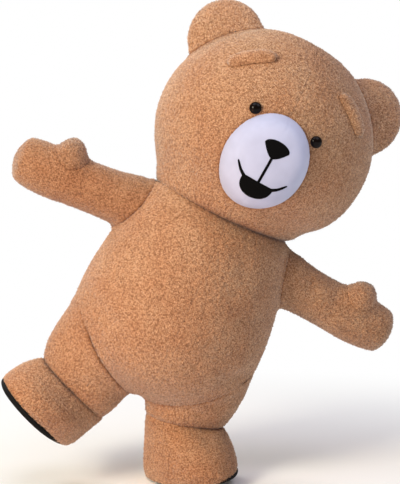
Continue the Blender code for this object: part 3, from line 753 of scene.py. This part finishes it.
def panel_grid(panel, cell):
    """The panel's even grid on its form, cut along its seams, with the u and t of each corner."""
    columns, rows = counts(panel.form, panel.u_range, panel.t_range, cell)
    bm, u, t = grid(columns, rows, panel.u_range, panel.t_range)
    layers = bm.verts.layers.float.new("u"), bm.verts.layers.float.new("t")
    for vert, *values in zip(bm.verts, u, t):
        for layer, value in zip(layers, values):
            vert[layer] = value
    move(bm, panel.form.place(u, t))
    bmesh.ops.remove_doubles(bm, verts=bm.verts, dist=0.55 * cell)
    orient(bm, panel.form, panel.u_range, panel.t_range)
    cut_away(bm, panel.seams)
    u, t = (np.array([vert[layer] for vert in bm.verts]) for layer in layers)
    for layer in layers:
        bm.verts.layers.float.remove(layer)
    return bm, u, t


def flat_cut(panel, domed=False):
    """The panel laid flat without seam allowance: its width, length and area between its seams.

    The width is its longest row and the length its longest column. On a domed panel, whose
    columns meet in its middle, they are what two opposite columns measure together.
    """
    u, t = np.meshgrid(np.linspace(*panel.u_range, CUT_SAMPLES), np.linspace(*panel.t_range, CUT_SAMPLES))
    points = panel.form.place(u.ravel(), t.ravel())
    kept = np.ones(len(points), bool)
    for seam in panel.seams:
        kept &= distance(seam.skin, points)[0] > -seam.bury
    points, kept = points.reshape(CUT_SAMPLES, CUT_SAMPLES, 3), kept.reshape(CUT_SAMPLES, CUT_SAMPLES)
    rows = (np.linalg.norm(np.diff(points, axis=1), axis=2) * (kept[:, 1:] & kept[:, :-1])).sum(axis=1)
    columns = (np.linalg.norm(np.diff(points, axis=0), axis=2) * (kept[1:] & kept[:-1])).sum(axis=0)
    a, b, c, d = points[:-1, :-1], points[:-1, 1:], points[1:, :-1], points[1:, 1:]
    cells = np.linalg.norm(np.cross(b - a, c - a), axis=2) + np.linalg.norm(np.cross(b - d, c - d), axis=2)
    whole = kept[:-1, :-1] & kept[1:, :-1] & kept[:-1, 1:] & kept[1:, 1:]
    quarter = CUT_SAMPLES // 4
    if domed:
        size = columns[quarter] + columns[3 * quarter], columns[0] + columns[2 * quarter]
    else:
        size = rows.max(), columns.max()
    return (*size, (cells * whole).sum() / 2)


def round_cut(cuts):
    """One cut that does for all of these, rounded up to the cutter's step, with their mean area."""
    widths, lengths, areas = zip(*cuts)
    width, length = (math.ceil(max(sizes) / CUT_STEP) * CUT_STEP for sizes in (widths, lengths))
    return round(width, 3), round(length, 3), round(sum(areas) / len(areas), 3)


def posed(points):
    """Nod the head over the neck, then lean the whole suit, both towards the left side."""
    share = np.clip((points[:, 2] - NOD_START_HEIGHT) / (NOD_FULL_HEIGHT - NOD_START_HEIGHT), 0, 1)
    angle = LEAN + HEAD_NOD * share * share * (3 - 2 * share)
    x = points[:, 0] * np.cos(angle) + points[:, 2] * np.sin(angle)
    z = -points[:, 0] * np.sin(angle) + points[:, 2] * np.cos(angle)
    return stack(x, points[:, 1], z)


def add_object(name, bm, material):
    mesh = bpy.data.meshes.new(name)
    bm.to_mesh(mesh)
    bm.free()
    mesh.materials.append(material)
    added = bpy.data.objects.new(name, mesh)
    bpy.context.scene.collection.objects.link(added)
    return added


def finish(name, bm, material):
    """Pose the shape and make it a named piece that rides on the suit."""
    move(bm, posed(coords(bm)))
    piece = add_object(name, bm, material)
    piece.data.shade_smooth()
    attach(piece, "suit")
    return piece


def thicken(piece, label, thickness):
    """Give the piece an even wall under its surface."""
    wall = piece.modifiers.new(label, "SOLIDIFY")
    wall.thickness = thickness
    wall.offset = -1


def zip_shape(points, beyond=0.02):
    """How near each point is to the zip, from 0 to 1, where the cloth opens and comes up to it."""
    inside = np.minimum(points[:, 2] - ZIP_BOTTOM, ZIP_TOP - points[:, 2])
    height = np.clip(inside / ZIP_FADE + beyond / ZIP_FADE, 0, 1)
    return height * (points[:, 1] > 0) * np.exp(-((points[:, 0] / ZIP_REACH) ** 2))


def panel_cloth(name, panel, material):
    """The woven backing of a panel: an even 3 mm wall below the roots of the pile."""
    bm, u, t = panel_grid(panel, CLOTH_CELL)
    move(bm, shape(panel, u, t, coords(bm), ROOT_DEPTH + CLOTH_GAP)[0])
    piece = finish(f"{name}_cloth", bm, material)
    thicken(piece, "cloth wall", CLOTH)
    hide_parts(name)
    return piece


def panel_pile(name, panel, material):
    """The pile of a panel: tufts that stand on a skin of small cells and lean along the nap."""
    rng = np.random.default_rng(panel.seed)
    bm, u, t = panel_grid(panel, PILE_CELL)
    points, outward, seam_shade = shape(panel, u, t, coords(bm), ROOT_DEPTH - 0.5 * MM)
    inner = np.array([not vert.is_boundary for vert in bm.verts])
    inner &= (u > panel.u_range[0] + 1e-6) & (u < panel.u_range[1] - 1e-6)
    jitter = rng.uniform(-TUFT_SHIFT * PILE_CELL, TUFT_SHIFT * PILE_CELL, (len(points), 3)) * inner[:, None]
    jitter -= outward * (jitter * outward).sum(axis=1)[:, None]
    clump = wander(points, CLUMP, 3.0)
    rise = inner * (rng.uniform(0, ROOT_RISE, len(points)) + CLUMP_RISE * clump)
    move(bm, points + jitter + outward * rise[:, None])
    # Painted shade: the roots take the pile's dark root colour, darker still along seams and ends.
    layer = bm.verts.layers.float.new("tip_and_shade")
    for vert, value in zip(bm.verts, seam_shade):
        vert[layer] = ROOT_TIP * (1 - value)
    tips = bmesh.ops.poke(bm, faces=bm.faces[:])["verts"]
    bm.normal_update()
    base, out = np.array([vert.co[:] for vert in tips]), np.array([vert.normal[:] for vert in tips])
    away_from_seams = np.array([np.mean([edge.other_vert(vert)[layer] for edge in vert.link_edges]) for vert in tips])
    away_from_seams = away_from_seams / ROOT_TIP
    nap = panel.nap(base)
    nap = unit(nap - out * (nap * out).sum(axis=1)[:, None])
    clump = wander(base, CLUMP, 3.0)
    tall = TUFT_HEIGHT + TUFT_VARIETY * clump + rng.uniform(-TUFT_VARIETY, TUFT_VARIETY, len(base))
    tall = np.clip(tall, *TUFT_LIMITS)
    height = PILE_HEIGHT * tall * (1 - TUFT_FLATTENING * zip_shape(base))
    height *= PRESSED_HEIGHT + (1 - PRESSED_HEIGHT) * away_from_seams
    side = rng.uniform(-TUFT_SPREAD * PILE_CELL, TUFT_SPREAD * PILE_CELL, (len(base), 3))
    placed = base + out * height[:, None] + nap * (TUFT_LEAN * PILE_CELL) + side
    # The tips' colour: paler the taller the tuft, and darker near seams as painted shade.
    paleness = (ROOT_TIP + (1 - ROOT_TIP) * (SHORT_PALENESS + (1 - SHORT_PALENESS) * tall)) * away_from_seams
    for vert, spot, value in zip(tips, placed, paleness):
        vert.co = spot
        vert[layer] = value
    return finish(f"{name}_pile", bm, material)


# Felt, sole and zip


def nose_outline():
    """A wide low arch over a softly pointed lower edge."""
    points = []
    for angle in np.linspace(0, math.tau, NOSE_POINTS, endpoint=False):
        out = math.cos(angle)
        if math.sin(angle) >= 0:
            rise = NOSE_RISE * math.sin(angle)
        else:
            rise = -NOSE_DROP * (1 - abs(out) ** NOSE_POINTEDNESS)
        points.append((NOSE_HALF_WIDTH * out, NOSE_HEIGHT + rise))
    return points


def mouth_outline():
    """A half-moon whose upper corners run on into two rising strokes."""
    half = []
    for angle in np.linspace(0, math.pi / 2, MOUTH_POINTS, endpoint=False):
        drop = MOUTH_DEPTH * math.cos(angle) ** MOUTH_FULLNESS
        half.append((MOUTH_HALF_WIDTH * math.sin(angle), LIP_HEIGHT + MOUTH_TOP - drop))
    curve, s, _ = smooth([(MOUTH_HALF_WIDTH + out, LIP_HEIGHT + rise) for out, rise in SMILE_STROKE])
    half += [tuple(point) for point in curve(np.linspace(0, s[-1], STROKE_POINTS))]
    other_half = [(-out, height) for out, height in reversed(half[1:])]
    return half + [(0.0, LIP_HEIGHT)] + other_half


def line_outline():
    """The straight line from the nose down to the lip, tucked a little under both."""
    top, bottom = NOSE_HEIGHT - NOSE_DROP + 4 * MM, LIP_HEIGHT - 3 * MM
    half = LINE_HALF_WIDTH
    return [(-half, bottom), (half, bottom), (half, top), (-half, top)]


OUTLINES = {"nose": nose_outline, "mouth": mouth_outline, "mouth_line": line_outline}


def felt_shape(name, outline, skin, material):
    """A shape cut from felt, laid on the muzzle's skin at an even thickness with a soft edge."""
    bm = bmesh.new()
    face = bm.faces.new([bm.verts.new((out, -1.0, height)) for out, height in outline])
    bm.normal_update()
    if face.normal.y > 0:
        bmesh.ops.reverse_faces(bm, faces=[face])
    area = face.calc_area()
    lows, highs = np.min(outline, axis=0), np.max(outline, axis=0)
    for axis, low, high in ((0, lows[0], highs[0]), (2, lows[1], highs[1])):
        normal = Vector((0, 0, 0))
        normal[axis] = 1.0
        for level in np.arange(low + FELT_CELL, high - 0.2 * FELT_CELL, FELT_CELL):
            bmesh.ops.bisect_plane(bm, geom=bm.verts[:] + bm.edges[:] + bm.faces[:], plane_co=normal * level,
                                   plane_no=normal, dist=1e-6)
    bmesh.ops.remove_doubles(bm, verts=bm.verts, dist=0.05 * MM)
    rim = {vert for edge in bm.edges if edge.is_boundary for vert in edge.verts}
    for vert in bm.verts:
        spot, outward, _, _ = skin.ray_cast(vert.co, Vector((0, 1, 0)))
        outward = outward if outward.y < 0 else -outward
        vert.co = spot + outward * (FELT * (FELT_RIM if vert in rim else 1.0))
    piece = finish(f"{name}_felt", bm, material)
    thicken(piece, "felt thickness", FELT)
    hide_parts(name)


def eye_dome(side, material):
    """A glossy dome on the face, a little flatter than a ball."""
    spot = np.array([SIDES[side] * EYE_OUT]), np.array([EYE_HEIGHT])
    centre, outward = Vector(face_place(*spot)[0]), Vector(face_outward(*spot)[0])
    turn = outward.to_track_quat("Z", "Y").to_matrix().to_4x4()
    size = Matrix.Diagonal((EYE_RADIUS, EYE_RADIUS, EYE_BULGE, 1))
    bm = bmesh.new()
    bmesh.ops.create_uvsphere(bm, u_segments=48, v_segments=24, radius=1.0,
                              matrix=Matrix.Translation(centre) @ turn @ size)
    eye = finish(f"eye_{side}_dome", bm, material)
    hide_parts(f"eye_{side}")


def sole_pad(side, material):
    """The closed pad under a boot."""
    bm, u, t = grid(*SOLE_CELLS, ROUND, WHOLE)
    move(bm, sole_form(side).place(u, t))
    bmesh.ops.remove_doubles(bm, verts=bm.verts, dist=0.5 * MM)
    bmesh.ops.recalc_face_normals(bm, faces=bm.faces)
    pad = finish(f"sole_{side}_pad", bm, material)
    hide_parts(f"sole_{side}")


def zip_teeth(body, material):
    """Two rows of coil loops that mesh along the middle of the chain."""
    bm = bmesh.new()
    fine = smooth(BODY_ROWS, radial=1)[2][::-1]
    for i in range(round((ZIP_TOP - ZIP_BOTTOM) / COIL_PITCH)):
        height = ZIP_BOTTOM + (i + 0.5) * COIL_PITCH
        back = np.interp(height, fine[:, 0], fine[:, 3])
        slope = np.interp(height + 1 * MM, fine[:, 0], fine[:, 3]) - back
        tilt = math.atan2(slope, 1 * MM)
        matrix = (Matrix.Translation((COIL_STAGGER * (-1) ** i, back + COIL_RISE, height))
                  @ Matrix.Rotation(-tilt, 4, "X") @ Matrix.Diagonal((*COIL_TOOTH, 1)))
        bmesh.ops.create_cube(bm, size=1.0, matrix=matrix)
    bmesh.ops.recalc_face_normals(bm, faces=bm.faces)
    return finish("zip_coil", bm, material)


# Materials


def linear(code):
    """The linear colour of an sRGB hex value."""
    channels = [int(code[i:i + 2], 16) / 255 for i in (0, 2, 4)]
    return tuple(c / 12.92 if c <= 0.04045 else ((c + 0.055) / 1.055) ** 2.4 for c in channels) + (1.0,)


def new_material(name, colour, **settings):
    """A material with its base colour and its shader's own settings."""
    material = bpy.data.materials.new(name)
    material.use_nodes = True
    shader = material.node_tree.nodes["Principled BSDF"]
    shader.inputs["Base Color"].default_value = linear(colour)
    for key, value in settings.items():
        shader.inputs[key.replace("_", " ")].default_value = value
    return material, material.node_tree, shader


def add(tree, kind, links=None, values=None, **settings):
    """Add a node with its settings, its inputs' values and its links from other sockets."""
    node = tree.nodes.new(kind)
    for key, value in settings.items():
        setattr(node, key, value)
    for key, value in (values or {}).items():
        node.inputs[key].default_value = value
    for key, source in (links or {}).items():
        tree.links.new(source, node.inputs[key])
    return node


def ramp(tree, factor, stops):
    """A colour that runs through the stops as the factor grows."""
    node = add(tree, "ShaderNodeValToRGB", {"Fac": factor})
    elements = node.color_ramp.elements
    while len(elements) < len(stops):
        elements.new(0.5)
    for element, (position, code) in zip(elements, stops):
        element.position = position
        element.color = linear(code)
    return node.outputs["Color"]


def clouds(tree, place, scale, detail, distortion=0.0):
    """Noise from 0 to 1 in waves of about 1/scale metres."""
    values = {"Scale": scale, "Detail": detail, "Distortion": distortion}
    return add(tree, "ShaderNodeTexNoise", {"Vector": place}, values).outputs["Fac"]


def multiply(tree, colour, links, values):
    """The colour multiplied by input 7, in the share that input 0 gives."""
    return add(tree, "ShaderNodeMix", {6: colour, **links}, values, data_type="RGBA",
               blend_type="MULTIPLY").outputs[2]


def dyed(name, colour, scale, low, high, detail=2.0, **settings):
    """A material whose colour wanders between two, with its tree, its shader and its place."""
    material, tree, shader = new_material(name, colour, **settings)
    place = add(tree, "ShaderNodeTexCoord").outputs["Object"]
    mottle = ramp(tree, clouds(tree, place, scale, detail), [(0.35, low), (0.65, high)])
    tree.links.new(mottle, shader.inputs["Base Color"])
    return material, tree, shader, place


def ribbed(tree, place, pitch, directions):
    """Threads pitch metres apart, as a height from 0 to 1, in one direction or in two."""
    values = {"Scale": math.pi / 10 / pitch, "Distortion": 0.3}
    heights = [add(tree, "ShaderNodeTexWave", {"Vector": place}, values, bands_direction=direction)
               for direction in directions]
    height, *crossed = [node.outputs["Fac"] for node in heights]
    for other in crossed:
        height = add(tree, "ShaderNodeMath", {0: height, 1: other}, operation="MULTIPLY").outputs[0]
    return height


def emboss(tree, shader, height, depth, strength):
    """Make the surface look depth metres deep where the height is 0."""
    bump = add(tree, "ShaderNodeBump", {"Height": height}, {"Distance": depth, "Strength": strength})
    tree.links.new(bump.outputs["Normal"], shader.inputs["Normal"])


def rub(tree, shader, factor, low, high):
    """Let the roughness wander between two values."""
    rough = add(tree, "ShaderNodeMapRange", {"Value": factor}, {"To Min": low, "To Max": high})
    tree.links.new(rough.outputs["Result"], shader.inputs["Roughness"])


def knit_material():
    """Fine brushed jersey: its ribs soften the light, and its white is cool and a little uneven."""
    material, tree, shader, place = dyed("brushed white jersey", "b2b7d1", 11.0, "aeb2cd", "b6bad5",
                                         Roughness=0.75, Sheen_Weight=0.15)
    emboss(tree, shader, ribbed(tree, place, 1.5 * MM, "X"), 0.3 * MM, 0.35)
    return material


def felt_material():
    """Pressed wool felt: matted fibres that take the light, so it stays a dull flat black."""
    material, tree, shader, place = dyed("black wool felt", "050405", 700.0, "020202", "090809", 4.0,
                                         Roughness=0.95, Specular_IOR_Level=0.1)
    emboss(tree, shader, clouds(tree, place, 500.0, 4.0), 0.5 * MM, 0.4)
    return material


def acrylic_material():
    """Cast acrylic: a clear gloss over a brown-black body, dulled a little where it is rubbed."""
    material, tree, shader, place = dyed("cast black acrylic", "0a0504", 60.0, "080403", "120805",
                                         Specular_IOR_Level=0.12)
    rub(tree, shader, clouds(tree, place, 400.0, 3.0), 0.07, 0.17)
    return material


def canvas_material():
    """Rubber-coated canvas: its weave shows through the coating, and dust greys it in places."""
    material, tree, shader, place = dyed("coated sole canvas", "060607", 14.0, "050506", "0c0c0d", 4.0,
                                         Roughness=0.8, Specular_IOR_Level=0.2)
    emboss(tree, shader, ribbed(tree, place, 2.0 * MM, "XY"), 0.4 * MM, 0.6)
    return material


def tape_material():
    """Woven polyester tape: close ribs across it, with a faint uneven dye."""
    material, tree, shader, place = dyed("woven polyester tape", "a87b5c", 45.0, "9c7053", "b08465",
                                         Roughness=0.8, Sheen_Weight=0.1)
    emboss(tree, shader, ribbed(tree, place, 1.0 * MM, "Z"), 0.3 * MM, 0.6)
    return material


def nylon_material():
    """Moulded nylon coil: smoother than the tape, so each tooth catches a small light."""
    return dyed("moulded nylon coil", "8a6247", 120.0, "7e583f", "966c50", Roughness=0.4)[0]


def zinc_material():
    """Die-cast zinc under a worn satin plating: a warm metal whose gloss comes and goes."""
    material, tree, shader, place = dyed("satin plated zinc", "b8a98c", 90.0, "aa9a7c", "c4b69a",
                                         Metallic=1.0)
    rub(tree, shader, clouds(tree, place, 260.0, 4.0), 0.28, 0.45)
    return material


def plush_material(name, tone):
    """Short brushed polyester pile: dull, paler at its brushed tips, and darker at its roots and along seams,
    a dark that is painted shade deep in the pile.

    Its tone darkens it all over; the darker tone on the raised sleeve is painted shade.
    """
    material, tree, shader = new_material(
        name, "d8ab88", Roughness=0.95, Specular_IOR_Level=0.1, Sheen_Weight=0.25, Sheen_Roughness=0.6)
    tip_and_shade = add(tree, "ShaderNodeAttribute", attribute_name="tip_and_shade").outputs["Fac"]
    place = add(tree, "ShaderNodeTexCoord").outputs["Object"]
    # Painted shade: the low end of tip_and_shade, at the roots and along seams, is the dark of shade deep in
    # the pile.
    depth = ramp(tree, tip_and_shade, [(0.0, "70452a"), (0.35, "b28561"), (0.7, "d2aa88"), (1.0, "ebcdb0")])
    mottle = ramp(tree, clouds(tree, place, 120.0, 1.0, 0.6), [(0.36, "a48e7e"), (0.60, "ffffff")])
    warmth = ramp(tree, clouds(tree, place, 6.0, 3.0), [(0.35, "f0e0d4"), (0.65, "ffffff")])
    colour = multiply(tree, multiply(tree, depth, {7: mottle}, {0: 0.8}), {7: warmth}, {0: 0.7})
    colour = multiply(tree, colour, {}, {0: 1.0, 7: linear(tone)})
    tree.links.new(colour, shader.inputs["Base Color"])
    return material


# Studio


def studio():
    scene = bpy.context.scene
    scene.view_settings.view_transform = "Standard"
    azimuth, elevation = math.radians(CAMERA_AZIMUTH), math.radians(CAMERA_ELEVATION)
    forward = Vector((-math.sin(azimuth) * math.cos(elevation), math.cos(azimuth) * math.cos(elevation),
                      -math.sin(elevation)))
    right = forward.cross(Vector((0, 0, 1))).normalized()
    up = right.cross(forward)
    place = -forward * CAMERA_DISTANCE - right * CAMERA_LEFT - up * CAMERA_DOWN
    data = bpy.data.cameras.new("camera")
    data.sensor_width = SENSOR_SIZE
    data.lens = SENSOR_SIZE * CAMERA_FOCAL_PX / IMAGE_HEIGHT_PX
    camera = bpy.data.objects.new("camera", data)
    camera.matrix_world = Matrix.Translation(place) @ Matrix((right, up, -forward)).transposed().to_4x4()
    scene.collection.objects.link(camera)
    scene.camera = camera

    bm = bmesh.new()
    bmesh.ops.create_circle(bm, cap_ends=True, segments=96, radius=FLOOR_RADIUS)
    bmesh.ops.translate(bm, vec=(0, 0, cad_box[0][2] - 0.5 * MM), verts=bm.verts)
    add_object("floor", bm, floor_material())

    world = bpy.data.worlds.new("studio")
    scene.world = world
    world.use_nodes = True
    tree = world.node_tree
    soft = tree.nodes["Background"]
    soft.inputs["Color"].default_value = linear("fff8f0")
    soft.inputs["Strength"].default_value = WORLD_STRENGTH
    white = add(tree, "ShaderNodeBackground", values={"Color": (1, 1, 1, 1), "Strength": 1.0})
    seen = add(tree, "ShaderNodeLightPath").outputs["Is Camera Ray"]
    mix = add(tree, "ShaderNodeMixShader", {0: seen, 1: soft.outputs[0], 2: white.outputs[0]})
    tree.links.new(mix.outputs[0], tree.nodes["World Output"].inputs["Surface"])
    for name, spot, size, power, colour in LIGHTS:
        light = bpy.data.lights.new(name, "AREA")
        light.size = size
        light.energy = power
        light.color = linear(colour)[:3]
        lamp = bpy.data.objects.new(name, light)
        lamp.location = spot
        lamp.rotation_euler = (Vector((0, 0, -0.1)) - Vector(spot)).to_track_quat("-Z", "Y").to_euler()
        scene.collection.objects.link(lamp)


def floor_material():
    """Matt white paint that brightens to the backdrop's white away from the suit."""
    material, tree, shader = new_material("matt white floor paint", "fafafa", Roughness=0.9)
    place = add(tree, "ShaderNodeTexCoord").outputs["Object"]
    radius = add(tree, "ShaderNodeVectorMath", {0: place}, operation="LENGTH").outputs["Value"]
    far = add(tree, "ShaderNodeMapRange", {"Value": radius}, {"From Min": 1.5, "From Max": 3.5},
              interpolation_type="SMOOTHSTEP")
    glow = add(tree, "ShaderNodeEmission", values={"Color": (1, 1, 1, 1), "Strength": 1.0})
    sources = {0: far.outputs["Result"], 1: shader.outputs[0], 2: glow.outputs[0]}
    mix = add(tree, "ShaderNodeMixShader", sources)
    tree.links.new(mix.outputs[0], tree.nodes["Material Output"].inputs["Surface"])
    return material


# The whole suit


def toward(x, y, z):
    """A nap that lies the same way all over a panel."""
    return lambda points: np.tile([x, y, z], (len(points), 1))


def facing(points, outward):
    """A grip that draws a seam in on the front and back, and leaves it flush along the edges."""
    return np.abs(outward[:, 1])


def below(level, most):
    """A grip that grows from its least at a level to its most a little below."""
    return lambda points, outward: most * np.clip((level - points[:, 2]) / GRIP_RUN, GRIP_LEAST, 1)


# The groin seams show from the hips down, more on the raised leg's side.
GROIN_GRIP = {"left": below(-0.72, 0.5), "right": below(-0.70, 1.0)}


def ankle_end(t, side):
    """The end of a leg or a boot at the ankle, square to the leg's own tilt there."""
    tilt = math.radians(LEG_ROWS[side][-1][2])
    axis = (-SIDES[side] * math.sin(tilt), 0, math.cos(tilt))
    return End(t, ANKLE_DEPTH, ANKLE_WIDTH, axis, ANKLE_GRIP[side], ANKLE_FULLNESS)


def sew_panels(plush, shaded_arm_plush, head, body, muzzle):
    """Every plush panel with its seams, as cloth under pile."""
    neck = [End(0.0, NECK_DEPTH, NECK_WIDTH, (0, 0, 1), NECK_GRIP, 0)]
    centre_and_side = ((0, 0.0), (1, 0.0))
    panels = {}
    arms = {side: arm_form(side) for side in SIDES}
    legs = {side: leg_form(side) for side in SIDES}
    thumbs = {side: thumb_form(side) for side in SIDES}
    brows = {side: brow_form(side) for side in SIDES}
    ears = {side: ear_whole(side) for side in SIDES}
    seed = 10
    for quarter, u_range in QUARTERS.items():
        depth, side = quarter.split("_")
        seams = [Seam(ears[side].tree, 4 * MM, 6 * MM, EAR_BLEND)]
        if depth == "front":
            seams.append(Seam(muzzle.tree, 4 * MM, 7 * MM, 0, 10 * MM))
            seams.append(Seam(brows[side].tree, 2 * MM, 4 * MM, BROW_BLEND))
        panels[f"head_{quarter}"] = Panel(
            head, u_range, WHOLE, seams, neck, centre_and_side, [], 1.5 * MM, toward(0, 0, -1), seed)
        seams = [Seam(arms[side].tree, ARM_STEP, 4 * MM, ARM_BLEND, 0, facing),
                 Seam(legs[side].tree, 8 * MM, 8 * MM, LEG_BLEND, 0, GROIN_GRIP[side])]
        panels[f"torso_{quarter}"] = Panel(
            body, u_range, WHOLE, seams, neck, centre_and_side, BODY_FOLDS, 3.0 * MM,
            toward(0, 0, -1), seed + 1)
        seed += 2
    for side, sign in SIDES.items():
        tilt = math.radians(SOLES[side][2])
        down = (sign * math.sin(tilt), 0, -math.cos(tilt))
        boot = boot_form(side)
        for depth, u_range in (("front", FRONT), ("back", BACK)):
            seams = [Seam(body.tree, ARM_STEP, 28 * MM, ARM_BLEND, 0, facing),
                     Seam(thumbs[side].tree, 1 * MM, 6 * MM, THUMB_BLEND)]
            panels[f"sleeve_{depth}_{side}"] = Panel(
                arms[side], u_range, WHOLE, seams, [], ((1, 0.0),), SLEEVE_FOLDS[side], 2.5 * MM,
                toward(sign, 0, -0.5), seed)
            seams = [Seam(body.tree, 8 * MM, 14 * MM, LEG_BLEND, 0, GROIN_GRIP[side])]
            panels[f"leg_{depth}_{side}"] = Panel(
                legs[side], u_range, WHOLE, seams, [ankle_end(1.0, side)],
                ((1, 0.0),), LEG_FOLDS[side], 2.5 * MM, toward(0, 0, -1), seed + 1)
            panels[f"boot_{depth}_{side}"] = Panel(
                boot, u_range, WHOLE, [], [ankle_end(0.0, side)],
                ((1, 0.0),), [], 1.5 * MM, toward(0, -0.5, -1), seed + 2, Hem(down, HEM_COVER[side]))
            ear = ear_form(side, -1 if depth == "front" else 1)
            panels[f"ear_{depth}_{side}"] = Panel(
                ear, ROUND, WHOLE, [Seam(head.tree, 4 * MM, 6 * MM, EAR_BLEND)], [],
                ((1, EAR_CENTRE[1]),), [], 1.5 * MM, toward(sign, 0, 0.6), seed + 3)
            seed += 4
        panels[f"thumb_{side}"] = Panel(
            thumbs[side], ROUND, (0.3, 1.0), [Seam(arms[side].tree, 1 * MM, 6 * MM, THUMB_BLEND)], [], (), [],
            1.0 * MM, toward(sign * 0.3, 0, 1), seed)
        panels[f"brow_{side}"] = Panel(
            brows[side], ROUND, WHOLE, [Seam(head.tree, 2 * MM, 4 * MM, BROW_BLEND)], [], (), [],
            0.0, toward(sign, 0, -0.5), seed + 1)
        seed += 2
    cuts = {name: flat_cut(panel, domed=name.startswith("thumb")) for name, panel in panels.items()}
    for name, panel in panels.items():
        # The wearer's right sleeve and thumb take the darker plush: painted shade on that arm.
        fur = shaded_arm_plush if name in ("sleeve_front_right", "sleeve_back_right", "thumb_right") else plush
        cloth = panel_cloth(name, panel, fur)
        pile = panel_pile(name, panel, fur)
        kind, side = name.rsplit("_", 1)
        alike = [side] if kind.startswith(("leg", "boot")) else SIDES
        width, length, area = round_cut([cuts[f"{kind}_{twin}"] for twin in alike])
        if kind.startswith("ear"):
            width, length = EAR_CUT


def cover_muzzle(muzzle, head, material):
    """The knit over the muzzle, and its skin for the felt to be laid on."""
    seam = Seam(head.tree, 3 * MM, 5 * MM, 0, 12 * MM)
    panel = Panel(muzzle, ROUND, WHOLE, [seam], [], (), MUZZLE_FOLDS, 0.0, None, 0)
    bm, u, t = panel_grid(panel, MUZZLE_CELL)
    move(bm, shape(panel, u, t, coords(bm), 0.0)[0])
    skin = BVHTree.FromBMesh(bm)
    cloth = finish("muzzle_cloth", bm, material)
    thicken(cloth, "cloth wall", CLOTH)
    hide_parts("muzzle")
    width, length, area = round_cut([flat_cut(panel, domed=True)])
    return skin


def main():
    studio()
    plush = plush_material("brushed polyester plush", "ffffff")
    # A darker plush for the wearer's right arm: painted shade.
    shaded_arm_plush = plush_material("polyester plush brushed up the sleeve", "e6dcd4")
    knit, felt, acrylic, canvas = knit_material(), felt_material(), acrylic_material(), canvas_material()
    tape, metal = tape_material(), zinc_material()
    head, body, muzzle = level_form(HEAD_ROWS), level_form(BODY_ROWS), muzzle_form()
    sew_panels(plush, shaded_arm_plush, head, body, muzzle)

    skin = cover_muzzle(muzzle, head, knit)
    for name, outline in OUTLINES.items():
        felt_shape(name, outline(), skin, felt)
    for side in SIDES:
        eye_dome(side, acrylic)
        sole_pad(side, canvas)
    coil = zip_teeth(body, nylon_material())
    dress = {"zip_chain": tape, "zip_tape": tape, "zip_slider": metal, "zip_pull_tab": metal}
    for name, material in dress.items():
        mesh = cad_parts[name].data
        mesh.materials.clear()
        mesh.materials.append(material)


main()
